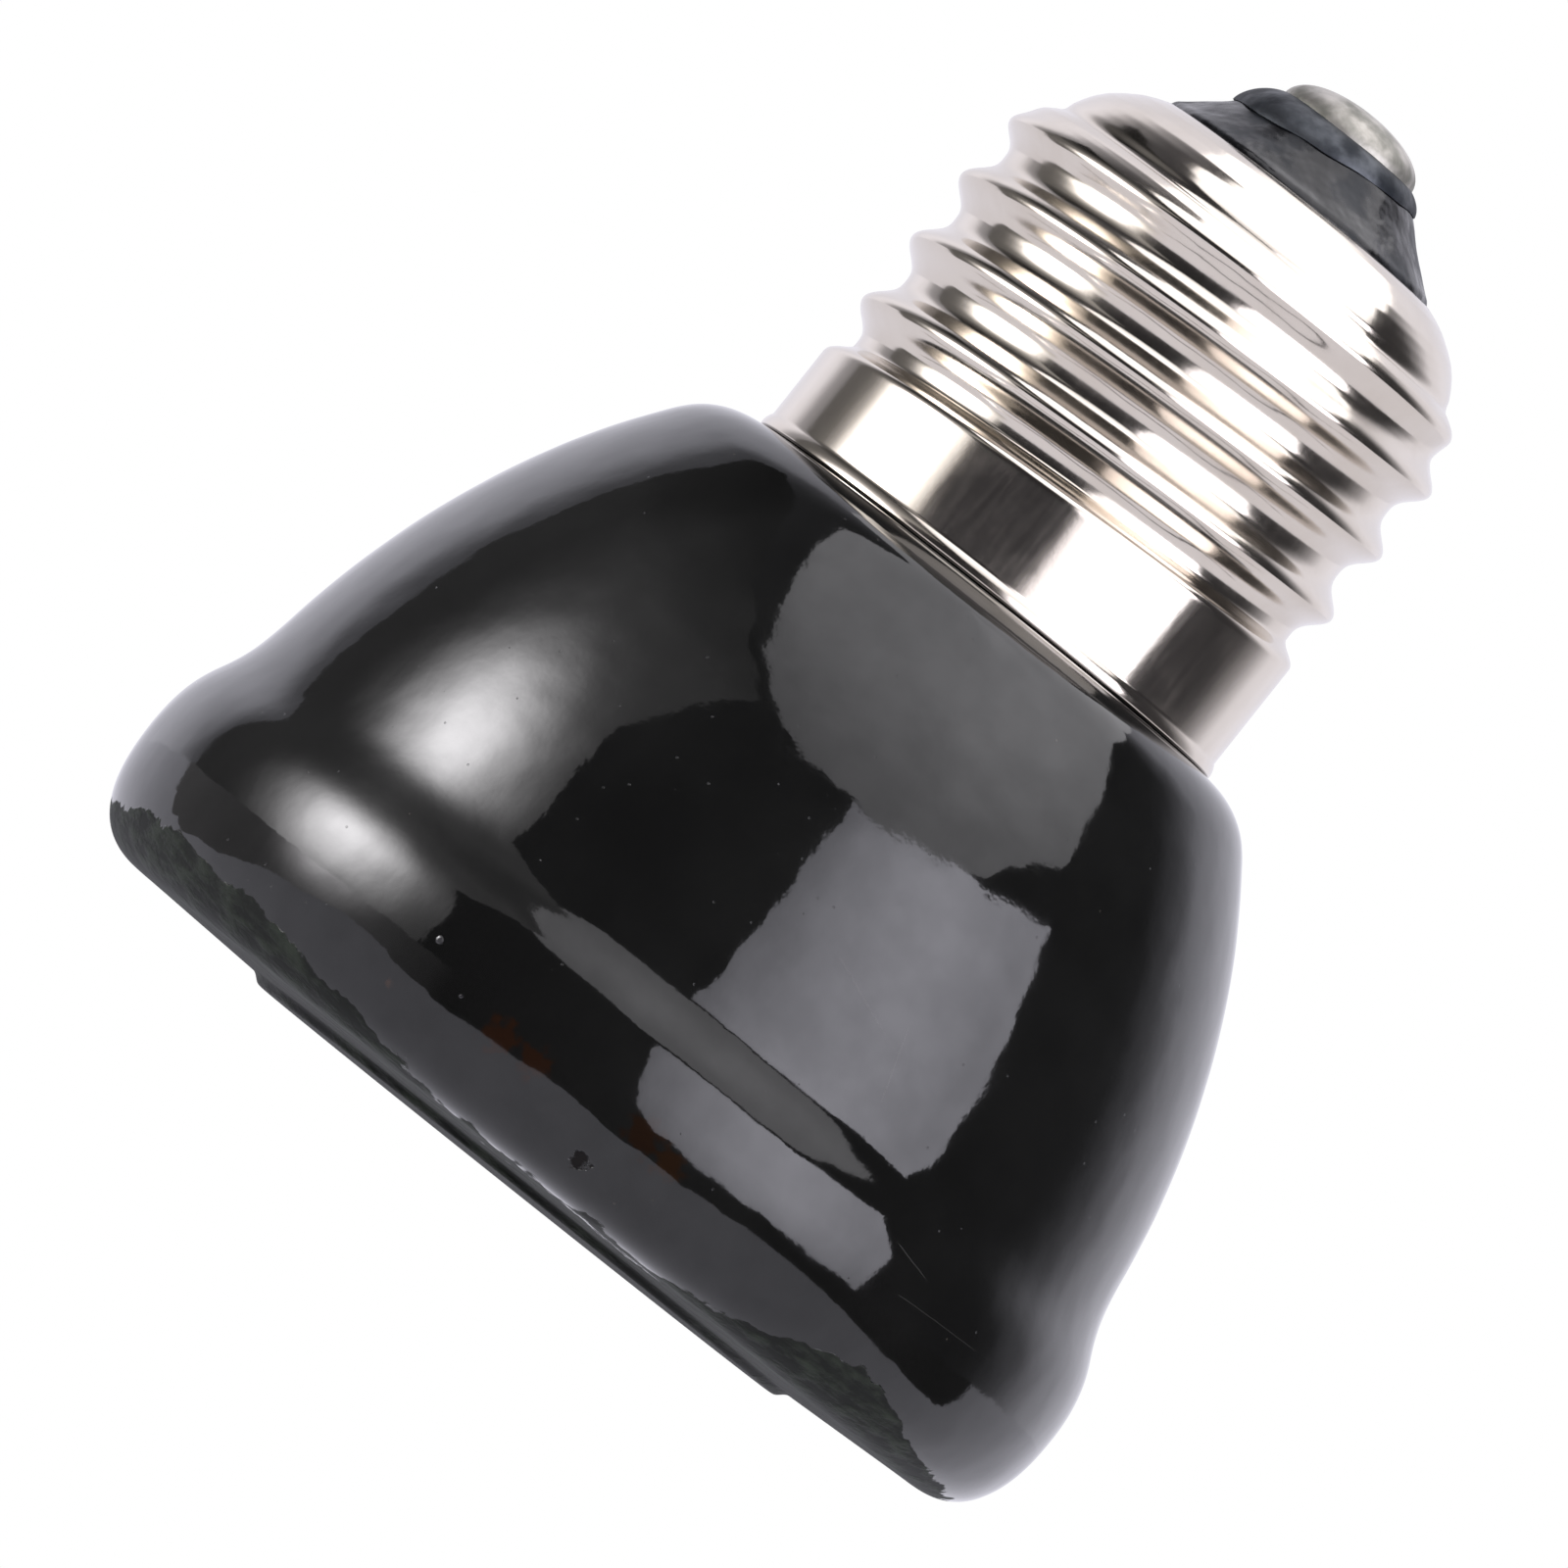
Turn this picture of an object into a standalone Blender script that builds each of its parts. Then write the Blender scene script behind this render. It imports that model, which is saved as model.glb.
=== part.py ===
"""Ceramic heat emitter: a glazed ceramic bell with a rolled screw cap cemented to its neck.

It stands on the pad in the middle of its face, at the origin, with its axis along +Z. All
lengths are in metres. The two leads lie in the XZ plane.
"""

import math

import bmesh
import bpy

MM = 0.001

# Clearance between two pieces that seat on each other
SEAT_GAP = 0.3 * MM

# Ceramic body, from the face up. Each rise is counted from the station below it
PAD_RADIUS = 15.4 * MM
PAD_PROUD = 0.4 * MM
PAD_EDGE = 0.8 * MM
FACE_RADIUS = 22.6 * MM
FACE_CROWN = 0.3 * MM
BEAD_RADIUS = 26.5 * MM
BEAD_RISE = 6.0 * MM
HOLLOW_RADIUS = 25.4 * MM
HOLLOW_RISE = 4.4 * MM
WAIST_RADIUS = 24.76 * MM
WAIST_RISE = 2.6 * MM
FLANK_TOP_RADIUS = 16.8 * MM
FLANK_RISE = 18.97 * MM
SHOULDER_ROUND = 4.6 * MM
NECK_CLEARANCE = 0.46 * MM
NECK_HEIGHT = 14.5 * MM
NECK_CHAMFER = 0.8 * MM
WELL_RADIUS = 2.8 * MM
WELL_FLOOR = 12.0 * MM

# How far the outline leans in from upright at each station, in degrees
HOLLOW_LEAN = 26.0
WAIST_LEAN = 9.1
FLANK_TOP_LEAN = 37.0

# Share of the chord that a curve's handles take
RIM_FULLNESS = 0.45
BEAD_FULLNESS = 0.4
FLANK_FULLNESS = 0.34
SMALL_FULLNESS = 0.33

# Screw shell, from its lip up
SHELL_WALL = 0.3 * MM
LIP_FLARE = 0.2 * MM
LIP_HEIGHT = 0.5 * MM
COLLAR_RADIUS = 12.95 * MM
COLLAR_HEIGHT = 3.8 * MM
THREAD_PROUD = 0.1 * MM
THREAD_DEPTH = 1.09 * MM
THREAD_PITCH = 3.629 * MM
THREAD_LENGTH = 15.0 * MM
THREAD_RUN_IN = 1.0 * MM
THREAD_RUN_OUT = 1.1 * MM
THREAD_START = 0.433
CROWN_INSET = 1.7 * MM
CROWN_ROUND = 4.35 * MM
HOLE_RADIUS = 7.8 * MM

# Cement between the neck and the collar
CEMENT_HEIGHT = 3.4 * MM

# Black glass in the crown
GLASS_RISE = 2.05 * MM
GLASS_BASE_RISE = 1.7 * MM
GLASS_LEDGE = 0.15 * MM
GLASS_FOOT_LEAN = 53.0
GLASS_TOP_LEAN = 44.0

# Contact eyelet and the solder on it
CONTACT_RADIUS = 4.9 * MM
CONTACT_EDGE = 0.25 * MM
CONTACT_HEIGHT = 1.4 * MM
CONTACT_TOP_RADIUS = 3.85 * MM
CONTACT_EDGE_LEAN = 30.0
CONTACT_TOP_LEAN = 70.0
STEM_RADIUS = 1.5 * MM
STEM_BORE = 0.95 * MM
SOLDER_RADIUS = 3.6 * MM
SOLDER_HEIGHT = 1.3 * MM

# Leads
LEAD_RADIUS = 0.45 * MM
LEAD_SPREAD = 1.2 * MM
SOCKET_DEPTH = 2.0 * MM
LEAD_BEND = 1.5 * MM
LEAD_LIFT = 0.75 * MM

# Facets around each turned piece, and rows along the shell
BODY_STEPS = 52
SHELL_STEPS = 44
LIP_ROWS = 2
ROWS_PER_TURN = 9
CROWN_ROWS = 7
GLASS_STEPS = 32
SMALL_STEPS = 28
CUTTER_STEPS = 16

# Pieces that stand for each curve of a half section or a route
PAD_PIECES = 3
RIM_PIECES = 7
BEAD_PIECES = 4
WAIST_PIECES = 2
FLANK_PIECES = 7
SHOULDER_PIECES = 5
FLANGE_PIECES = 4
CONE_PIECES = 4
CONTACT_PIECES = 4
DOME_PIECES = 6
LEAD_PIECES = 8

MERGE_DISTANCE = 0.000001
SHARP_ANGLE = math.radians(38)


def clear_scene():
    for old in list(bpy.data.objects):
        bpy.data.objects.remove(old, do_unlink=True)


def body_height():
    """Height of the shoulder's flat top, where the cap seats."""
    flank_top = PAD_PROUD + FACE_CROWN + BEAD_RISE + HOLLOW_RISE + WAIST_RISE + FLANK_RISE
    return flank_top + SHOULDER_ROUND * (1 - math.sin(math.radians(FLANK_TOP_LEAN)))


def neck_top():
    return body_height() + NECK_HEIGHT


def neck_radius():
    """The neck passes up through the thread's root, with room to set the cap."""
    return thread_root() - SHELL_WALL - NECK_CLEARANCE


def thread_crest():
    return COLLAR_RADIUS + THREAD_PROUD


def thread_root():
    return thread_crest() - THREAD_DEPTH


def cap_seat():
    """Height of the shell's lip."""
    return body_height() + SEAT_GAP


def crown_foot():
    """Height where the thread ends and the crown's arc starts."""
    return cap_seat() + COLLAR_HEIGHT + THREAD_LENGTH


def crown_radius():
    return COLLAR_RADIUS - CROWN_INSET


def crown_centre_radius():
    return crown_radius() - CROWN_ROUND


def hole_angle():
    """Angle up the crown's arc at which the hole for the glass is cut."""
    return math.acos((HOLE_RADIUS - crown_centre_radius()) / CROWN_ROUND)


def hole_height():
    return crown_foot() + CROWN_ROUND * math.sin(hole_angle())


def glass_base():
    return crown_foot() + GLASS_BASE_RISE


def glass_top():
    return hole_height() + GLASS_RISE


def contact_base():
    return glass_top() + SEAT_GAP


def contact_top():
    return contact_base() + CONTACT_HEIGHT


def leaning(degrees):
    """Direction in the half section, as (outwards, up), that leans in from upright."""
    angle = math.radians(degrees)
    return (-math.sin(angle), math.cos(angle))


def flow(start, start_way, end, end_way, fullness, pieces):
    """Points of a smooth curve after start, up to end, that leaves and arrives along the two ways."""
    reach = fullness * math.dist(start, end)
    first = [start[k] + reach * start_way[k] for k in range(2)]
    second = [end[k] - reach * end_way[k] for k in range(2)]
    points = []
    for step in range(1, pieces + 1):
        t = step / pieces
        weights = ((1 - t) ** 3, 3 * t * (1 - t) ** 2, 3 * t * t * (1 - t), t**3)
        corners = (start, first, second, end)
        points.append(tuple(sum(w * c[k] for w, c in zip(weights, corners)) for k in range(2)))
    return points


def arc(centre, radius, start, end, pieces):
    """Points on an arc after its start, for angles in radians counted up from outwards."""
    points = []
    for step in range(1, pieces + 1):
        angle = start + (end - start) * step / pieces
        points.append((centre[0] + radius * math.cos(angle), centre[1] + radius * math.sin(angle)))
    return points


def finish(obj, colour, roughness, metallic=0.0, coat=0.0):
    """Gives the object a material of its own."""
    material = bpy.data.materials.new(obj.name)
    material.use_nodes = True
    shader = material.node_tree.nodes["Principled BSDF"]
    shader.inputs["Base Color"].default_value = (*colour, 1.0)
    shader.inputs["Roughness"].default_value = roughness
    shader.inputs["Metallic"].default_value = metallic
    shader.inputs["Coat Weight"].default_value = coat
    obj.data.materials.append(material)
    return obj


def mesh_object(name, bm):
    """Makes an object of the bmesh, with its faces turned outwards and its sharp edges kept."""
    bmesh.ops.recalc_face_normals(bm, faces=bm.faces)
    mesh = bpy.data.meshes.new(name)
    bm.to_mesh(mesh)
    bm.free()
    mesh.shade_smooth()
    mesh.set_sharp_from_angle(angle=SHARP_ANGLE)
    obj = bpy.data.objects.new(name, mesh)
    bpy.context.scene.collection.objects.link(obj)
    return obj


def lathe(name, profile, steps, closed):
    """Turns a half section about the axis. An open section starts and ends on the axis."""
    bm = bmesh.new()
    verts = [bm.verts.new((radius, 0.0, height)) for radius, height in profile]
    edges = [bm.edges.new(pair) for pair in zip(verts, verts[1:])]
    if closed:
        edges.append(bm.edges.new((verts[-1], verts[0])))
    bmesh.ops.spin(
        bm,
        geom=verts + edges,
        cent=(0, 0, 0),
        axis=(0, 0, 1),
        angle=math.tau,
        steps=steps,
        use_merge=True,
    )
    bmesh.ops.remove_doubles(bm, verts=bm.verts, dist=MERGE_DISTANCE)
    return mesh_object(name, bm)


def body_section():
    """Half section of the ceramic body, from the middle of its face round to the well's floor."""
    pad_foot = (PAD_RADIUS - PAD_EDGE / 2, 0.0)
    pad_top = (PAD_RADIUS + PAD_EDGE / 2, PAD_PROUD)
    face_edge = (FACE_RADIUS, PAD_PROUD + FACE_CROWN)
    bead = (BEAD_RADIUS, face_edge[1] + BEAD_RISE)
    hollow = (HOLLOW_RADIUS, bead[1] + HOLLOW_RISE)
    waist = (WAIST_RADIUS, hollow[1] + WAIST_RISE)
    flank_top = (FLANK_TOP_RADIUS, waist[1] + FLANK_RISE)
    outwards = (1.0, 0.0)
    upwards = leaning(0.0)
    lean = math.radians(FLANK_TOP_LEAN)
    shoulder = (
        FLANK_TOP_RADIUS - SHOULDER_ROUND * math.cos(lean),
        flank_top[1] - SHOULDER_ROUND * math.sin(lean),
    )

    points = [(0.0, 0.0), pad_foot]
    points += flow(pad_foot, outwards, pad_top, outwards, BEAD_FULLNESS, PAD_PIECES)
    points.append(face_edge)
    points += flow(face_edge, outwards, bead, upwards, RIM_FULLNESS, RIM_PIECES)
    points += flow(bead, upwards, hollow, leaning(HOLLOW_LEAN), BEAD_FULLNESS, BEAD_PIECES)
    points += flow(
        hollow, leaning(HOLLOW_LEAN), waist, leaning(WAIST_LEAN), BEAD_FULLNESS, WAIST_PIECES
    )
    points += flow(
        waist,
        leaning(WAIST_LEAN),
        flank_top,
        leaning(FLANK_TOP_LEAN),
        FLANK_FULLNESS,
        FLANK_PIECES,
    )
    points += arc(shoulder, SHOULDER_ROUND, lean, math.pi / 2, SHOULDER_PIECES)
    points += [
        (neck_radius(), body_height()),
        (neck_radius(), neck_top() - NECK_CHAMFER),
        (neck_radius() - NECK_CHAMFER, neck_top()),
        (WELL_RADIUS, neck_top()),
        (WELL_RADIUS, WELL_FLOOR),
        (0.0, WELL_FLOOR),
    ]
    return points


def socket_cutter(name, side):
    """Cuts the blind hole in the well's floor from which a lead comes out of the ceramic."""
    bm = bmesh.new()
    bmesh.ops.create_cone(
        bm,
        cap_ends=True,
        segments=CUTTER_STEPS,
        radius1=LEAD_RADIUS + SEAT_GAP,
        radius2=LEAD_RADIUS + SEAT_GAP,
        depth=2 * SOCKET_DEPTH,
    )
    cutter = mesh_object(name, bm)
    cutter.location = (side * LEAD_SPREAD, 0.0, WELL_FLOOR)
    cutter.hide_render = True
    cutter.display_type = "WIRE"
    return cutter


def make_body():
    """Cast and glazed bell, with the neck that goes up into the cap and the well for the leads."""
    body = lathe("ceramic_body", body_section(), BODY_STEPS, closed=False)
    for name, side in (("cut_centre_socket", -1), ("cut_side_socket", 1)):
        cut = body.modifiers.new(name, "BOOLEAN")
        cut.operation = "DIFFERENCE"
        cut.solver = "EXACT"
        cut.object = socket_cutter(name, side)
    return finish(body, (0.012, 0.012, 0.013), 0.12, coat=0.5)


def make_cement():
    """Ring of cement that fills the space between the neck and the collar."""
    inner = neck_radius() + SEAT_GAP
    outer = COLLAR_RADIUS - SHELL_WALL - SEAT_GAP
    low = body_height() + SEAT_GAP
    high = low + CEMENT_HEIGHT
    section = [(inner, low), (outer, low), (outer, high), (inner, high)]
    ring = lathe("basing_cement", section, GLASS_STEPS, closed=True)
    return finish(ring, (0.56, 0.52, 0.45), 0.9)


def thread_radius(height, turn):
    """Radius of the rolled thread, at a height over its start and a fraction of a turn.

    Crest and root are equal arcs that meet where the flank is steepest. The thread is
    right-handed, so the crest climbs by one pitch as turn goes from 0 to 1.
    """
    quarter = THREAD_PITCH / 4
    half_depth = THREAD_DEPTH / 2
    round_radius = (quarter**2 + half_depth**2) / (2 * half_depth)
    phase = (height / THREAD_PITCH - THREAD_START - turn + 0.5) % 1.0 - 0.5
    from_crest = abs(phase) * THREAD_PITCH
    if from_crest < quarter:
        drop = round_radius - math.sqrt(round_radius**2 - from_crest**2)
        return thread_crest() - drop
    from_root = THREAD_PITCH / 2 - from_crest
    climb = round_radius - math.sqrt(round_radius**2 - from_root**2)
    return thread_root() + climb


def ease(share):
    """Smooth step from 0 to 1."""
    share = min(max(share, 0.0), 1.0)
    return share * share * (3 - 2 * share)


def shell_stations():
    """Stations up the shell, each as (plain radius, height, direction off the wall).

    The direction is the angle above outwards. The thread is added to the plain radius.
    """
    seat = cap_seat()
    stations = []
    for row in range(LIP_ROWS + 1):
        share = row / LIP_ROWS
        flare = LIP_FLARE * (1 - share**2)
        stations.append((COLLAR_RADIUS + flare, seat + LIP_HEIGHT * share, 0.0))
    rows = math.ceil(THREAD_LENGTH / THREAD_PITCH * ROWS_PER_TURN)
    for row in range(rows):
        height = THREAD_LENGTH * row / rows
        plain = COLLAR_RADIUS if height < THREAD_LENGTH / 2 else crown_radius()
        stations.append((plain, seat + COLLAR_HEIGHT + height, 0.0))
    centre = (crown_centre_radius(), crown_foot())
    top = hole_angle()
    for row in range(CROWN_ROWS + 1):
        angle = top * row / CROWN_ROWS
        stations.append(
            (
                centre[0] + CROWN_ROUND * math.cos(angle),
                centre[1] + CROWN_ROUND * math.sin(angle),
                angle,
            )
        )
    return stations


def thread_share(height):
    """How much of the thread shows at a height over its start: none on the collar and crown."""
    run_in = ease(height / THREAD_RUN_IN)
    run_out = ease((height - THREAD_LENGTH) / THREAD_RUN_OUT)
    return run_in * (1 - run_out)


def make_shell():
    """Thin rolled screw shell: both faces of the wall follow the thread, as in pressed sheet."""
    start = cap_seat() + COLLAR_HEIGHT
    stations = shell_stations()
    bm = bmesh.new()
    outer = []
    inner = []
    for plain, height, angle in stations:
        share = thread_share(height - start)
        outer_ring = []
        inner_ring = []
        for step in range(SHELL_STEPS):
            turn = step / SHELL_STEPS
            radius = plain + share * (thread_radius(height - start, turn) - plain)
            inside = radius - SHELL_WALL * math.cos(angle)
            below = height - SHELL_WALL * math.sin(angle)
            across = math.cos(math.tau * turn)
            along = math.sin(math.tau * turn)
            outer_ring.append(bm.verts.new((radius * across, radius * along, height)))
            inner_ring.append(bm.verts.new((inside * across, inside * along, below)))
        outer.append(outer_ring)
        inner.append(inner_ring)
    rings = outer + inner[::-1]
    for ring, above in zip(rings, rings[1:] + rings[:1]):
        for step in range(SHELL_STEPS):
            after = (step + 1) % SHELL_STEPS
            bm.faces.new((ring[step], ring[after], above[after], above[step]))
    shell = mesh_object("screw_shell", bm)
    return finish(shell, (0.66, 0.62, 0.57), 0.22, metallic=1.0)


def make_glass():
    """Black glass plug: a flange under the crown, a neck through its hole and a cone above."""
    centre = (crown_centre_radius(), crown_foot())
    under_crown = CROWN_ROUND - SHELL_WALL - SEAT_GAP
    neck = HOLE_RADIUS - SHELL_WALL * math.cos(hole_angle()) - SEAT_GAP
    low = math.asin(GLASS_BASE_RISE / under_crown)
    high = math.acos((neck - centre[0]) / under_crown)
    bore = STEM_RADIUS + SEAT_GAP
    foot = (neck, hole_height())
    top = (CONTACT_RADIUS + GLASS_LEDGE, glass_top())
    section = [
        (bore, glass_base()),
        (centre[0] + under_crown * math.cos(low), glass_base()),
    ]
    section += arc(centre, under_crown, low, high, FLANGE_PIECES)
    section.append(foot)
    section += flow(
        foot, leaning(GLASS_FOOT_LEAN), top, leaning(GLASS_TOP_LEAN), SMALL_FULLNESS, CONE_PIECES
    )
    section.append((bore, glass_top()))
    glass = lathe("glass_insulator", section, GLASS_STEPS, closed=True)
    return finish(glass, (0.01, 0.01, 0.012), 0.1)


def make_contact():
    """Tinned eyelet: a domed washer on the glass, with a hollow stem down through it."""
    base = contact_base()
    top = contact_top()
    edge = (CONTACT_RADIUS, base + CONTACT_EDGE)
    brow = (CONTACT_TOP_RADIUS, top)
    section = [
        (STEM_BORE, glass_base()),
        (STEM_RADIUS, glass_base()),
        (STEM_RADIUS, base),
        (CONTACT_RADIUS, base),
        edge,
    ]
    section += flow(
        edge,
        leaning(CONTACT_EDGE_LEAN),
        brow,
        leaning(CONTACT_TOP_LEAN),
        SMALL_FULLNESS,
        CONTACT_PIECES,
    )
    section.append((STEM_BORE, top))
    contact = lathe("centre_contact", section, SMALL_STEPS, closed=True)
    return finish(contact, (0.30, 0.31, 0.30), 0.4, metallic=1.0)


def make_solder():
    """Dome of solder that closes the eyelet."""
    base = contact_top() + SEAT_GAP
    section = [(0.0, base), (SOLDER_RADIUS, base)]
    for step in range(1, DOME_PIECES + 1):
        angle = math.pi / 2 * step / DOME_PIECES
        radius = SOLDER_RADIUS * math.cos(angle) if step < DOME_PIECES else 0.0
        section.append((radius, base + SOLDER_HEIGHT * math.sin(angle)))
    dome = lathe("contact_solder", section, SMALL_STEPS, closed=False)
    return finish(dome, (0.62, 0.61, 0.59), 0.35, metallic=1.0)


def make_lead(name, route):
    """Bare wire along a route of (x, z) points."""
    curve = bpy.data.curves.new(name, "CURVE")
    curve.dimensions = "3D"
    curve.bevel_depth = LEAD_RADIUS
    curve.bevel_resolution = 1
    curve.use_fill_caps = True
    spline = curve.splines.new("POLY")
    spline.points.add(len(route) - 1)
    for point, (x, z) in zip(spline.points, route):
        point.co = (x, 0.0, z, 1.0)
    lead = bpy.data.objects.new(name, curve)
    bpy.context.scene.collection.objects.link(lead)
    return finish(lead, (0.55, 0.53, 0.50), 0.35, metallic=1.0)


def make_centre_lead():
    """Wire from its socket up the well, over to the axis, and up through the eyelet's stem."""
    upwards = leaning(0.0)
    start = (-LEAD_SPREAD, WELL_FLOOR - SOCKET_DEPTH + SEAT_GAP)
    leave = (-LEAD_SPREAD, neck_top())
    arrive = (0.0, glass_base() - LEAD_BEND)
    end = (0.0, contact_top() - SEAT_GAP)
    bend = flow(leave, upwards, arrive, upwards, BEAD_FULLNESS, LEAD_PIECES)
    return make_lead("centre_lead", [start, leave] + bend + [end])


def make_side_lead():
    """Wire from its socket up the well, and over the neck's rim to the shell's wall."""
    start = (LEAD_SPREAD, WELL_FLOOR - SOCKET_DEPTH + SEAT_GAP)
    leave = (LEAD_SPREAD, neck_top())
    run = neck_top() + SEAT_GAP + LEAD_RADIUS + LEAD_LIFT
    arrive = (LEAD_SPREAD + LEAD_BEND, run)
    wall = thread_root() - SHELL_WALL - SEAT_GAP
    bend = flow(leave, leaning(0.0), arrive, (1.0, 0.0), BEAD_FULLNESS, LEAD_PIECES)
    return make_lead("side_lead", [start, leave] + bend + [(wall, run)])


def main():
    clear_scene()
    make_body()
    make_cement()
    make_shell()
    make_glass()
    make_contact()
    make_solder()
    make_centre_lead()
    make_side_lead()


main()
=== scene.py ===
"""Ceramic heat emitter in a small studio: a glazed bell with a rolled screw cap.

The object stands on its face at the origin, with its axis along +Z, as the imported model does.
Lengths are in millimetres in the classes and in metres in the meshes. The two parameters of
each surface are the turn about the axis and the way along a half section.
"""

import itertools
import logging
import math
from dataclasses import dataclass
from enum import Enum

import bpy
import numpy as np
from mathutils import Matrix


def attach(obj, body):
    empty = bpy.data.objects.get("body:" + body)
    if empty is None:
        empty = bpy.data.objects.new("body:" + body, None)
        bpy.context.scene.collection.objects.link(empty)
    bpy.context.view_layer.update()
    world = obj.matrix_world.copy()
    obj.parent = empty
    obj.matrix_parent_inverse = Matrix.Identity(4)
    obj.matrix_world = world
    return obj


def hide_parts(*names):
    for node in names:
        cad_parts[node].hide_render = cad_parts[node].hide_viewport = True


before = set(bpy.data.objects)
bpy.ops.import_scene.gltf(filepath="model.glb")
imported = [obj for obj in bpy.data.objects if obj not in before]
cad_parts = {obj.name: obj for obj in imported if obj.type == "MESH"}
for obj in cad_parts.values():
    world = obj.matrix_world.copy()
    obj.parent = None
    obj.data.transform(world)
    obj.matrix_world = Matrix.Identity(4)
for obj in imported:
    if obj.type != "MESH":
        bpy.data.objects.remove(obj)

MM = 0.001
ROOT_BODY = "root"
BARE_LINE = "bare_line"
SMOOTH = {"interpolation_type": "SMOOTHSTEP"}
COLOURS = {"data_type": "RGBA"}
LOG = logging.getLogger("ceramic heat emitter")

Tree = bpy.types.NodeTree
Node = bpy.types.Node
Socket = bpy.types.NodeSocket
Material = bpy.types.Material
Piece = bpy.types.Object
Point = tuple[float, float]
Place = tuple[float, float, float]


class Slot(Enum):
    """Names of material slots, which nothing in this script uses."""

    GLAZE = "black_glaze"
    SHELL = "nickel_shell"
    GLASS = "black_glass"
    CONTACT = "tinned_contact"
    SOLDER = "solder"


def linear(hex_colour: str) -> tuple[float, float, float, float]:
    """Turns an sRGB hex colour to linear light.

    Args:
        hex_colour: Six hex digits after a hash.

    Returns:
        Linear red, green, blue and an alpha of 1.
    """
    parts = [int(hex_colour[k : k + 2], 16) / 255 for k in (1, 3, 5)]
    return (*[p / 12.92 if p <= 0.04045 else ((p + 0.055) / 1.055) ** 2.4 for p in parts], 1.0)


def feed(tree: Tree, node: Node, inputs: dict) -> None:
    """Sets or links the inputs of a node.

    Args:
        tree: Node tree of the node.
        node: The node.
        inputs: For each input, by name or number, an output socket, a hex colour or a value.
    """
    for name, value in inputs.items():
        if isinstance(value, Socket):
            tree.links.new(value, node.inputs[name])
        else:
            node.inputs[name].default_value = linear(value) if isinstance(value, str) else value


def add(
    tree: Tree, kind: str, inputs: dict | None = None, output: int | str = 0, **settings: str
) -> Socket:
    """Adds a node with its settings and its links.

    Args:
        tree: Node tree that gets the node.
        kind: Blender's name for the node's type, without ShaderNode in front.
        inputs: What goes into the node, as feed takes it.
        output: Name or number of the output to go on with.
        settings: Properties of the node.

    Returns:
        That output of the new node.
    """
    node = tree.nodes.new("ShaderNode" + kind)
    for name, value in settings.items():
        setattr(node, name, value)
    feed(tree, node, inputs or {})
    return node.outputs[output]


def wave_field(points: np.ndarray, cell: float, seed: int) -> np.ndarray:
    """Smooth random height over space, which gives a hand-glazed surface its unevenness.

    Each corner of a cubic lattice has a random slope. The height at a point is the sum of the
    eight corner planes there, each weighted by the quintic step 6t^5 - 15t^4 + 10t^3.

    Args:
        points: Places, with three coordinates in the last axis.
        cell: Lattice spacing, in the unit of the points.
        seed: Seed of the random slopes.

    Returns:
        Heights between about -1 and 1, one for each point.
    """
    draw = np.random.default_rng(seed)
    table = draw.permutation(256)
    slopes = draw.normal(size=(256, 3))
    slopes /= np.linalg.norm(slopes, axis=1, keepdims=True)
    place = points / cell
    base = np.floor(place).astype(int)
    local = place - base
    step = local**3 * (local * (local * 6 - 15) + 10)
    total = np.zeros(points.shape[:-1])
    for corner in itertools.product((0, 1), repeat=3):
        x, y, z = np.moveaxis(base + corner, -1, 0)
        pick = table[(table[(table[x & 255] + y) & 255] + z) & 255]
        weight = np.prod(np.where(corner, step, 1 - step), axis=-1)
        total += weight * ((local - corner) * slopes[pick]).sum(axis=-1)
    return total * 1.6


def read_off(
    table: tuple[Point, ...] | np.ndarray, value: np.ndarray, period: float | None = None
) -> np.ndarray:
    """Reads a table of points, with straight lines between them.

    Args:
        table: Points, as a value and its result, in rising order.
        value: Values to look up.
        period: Length after which the table repeats, if it does.

    Returns:
        The result for each value.
    """
    stops = np.array(table)
    return np.interp(value, stops[:, 0], stops[:, 1], period=period)


def leaning(degrees: float) -> Point:
    """Direction in the half section, as (outwards, up), that leans in from upright."""
    return (-math.sin(math.radians(degrees)), math.cos(math.radians(degrees)))


def line(start: Point, end: Point, pieces: int) -> np.ndarray:
    """Points after start on the straight way to end, evenly spaced."""
    share = np.linspace(0, 1, pieces + 1)[1:, None]
    return (1 - share) * np.array(start) + share * np.array(end)


def flow(
    start: Point, start_way: Point, end: Point, end_way: Point, fullness: float, pieces: int
) -> np.ndarray:
    """Points after start on a smooth curve that leaves and arrives along two ways.

    The curve is a cubic Bezier whose two handles are as long as a share of the chord.

    Args:
        start: First point, as radius and height.
        start_way: Unit direction in which the curve leaves.
        end: Last point.
        end_way: Unit direction in which the curve arrives.
        fullness: Length of each handle as a share of the chord.
        pieces: Number of points.

    Returns:
        The points, one in each row.
    """
    reach = fullness * math.dist(start, end)
    first = np.array(start) + reach * np.array(start_way)
    second = np.array(end) - reach * np.array(end_way)
    t = np.linspace(0, 1, pieces + 1)[1:, None]
    return (
        (1 - t) ** 3 * np.array(start)
        + 3 * t * (1 - t) ** 2 * first
        + 3 * t**2 * (1 - t) * second
        + t**3 * np.array(end)
    )


def arc(centre: Point, radius: float, start: float, end: float, pieces: int) -> np.ndarray:
    """Points after the start of an arc.

    Args:
        centre: Centre in the half section.
        radius: Radius of the arc.
        start: First angle in radians, counted up from outwards.
        end: Last angle.
        pieces: Number of points.

    Returns:
        The points, one in each row.
    """
    angle = np.linspace(start, end, pieces + 1)[1:]
    return np.array(centre) + radius * np.stack([np.cos(angle), np.sin(angle)], axis=1)


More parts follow.
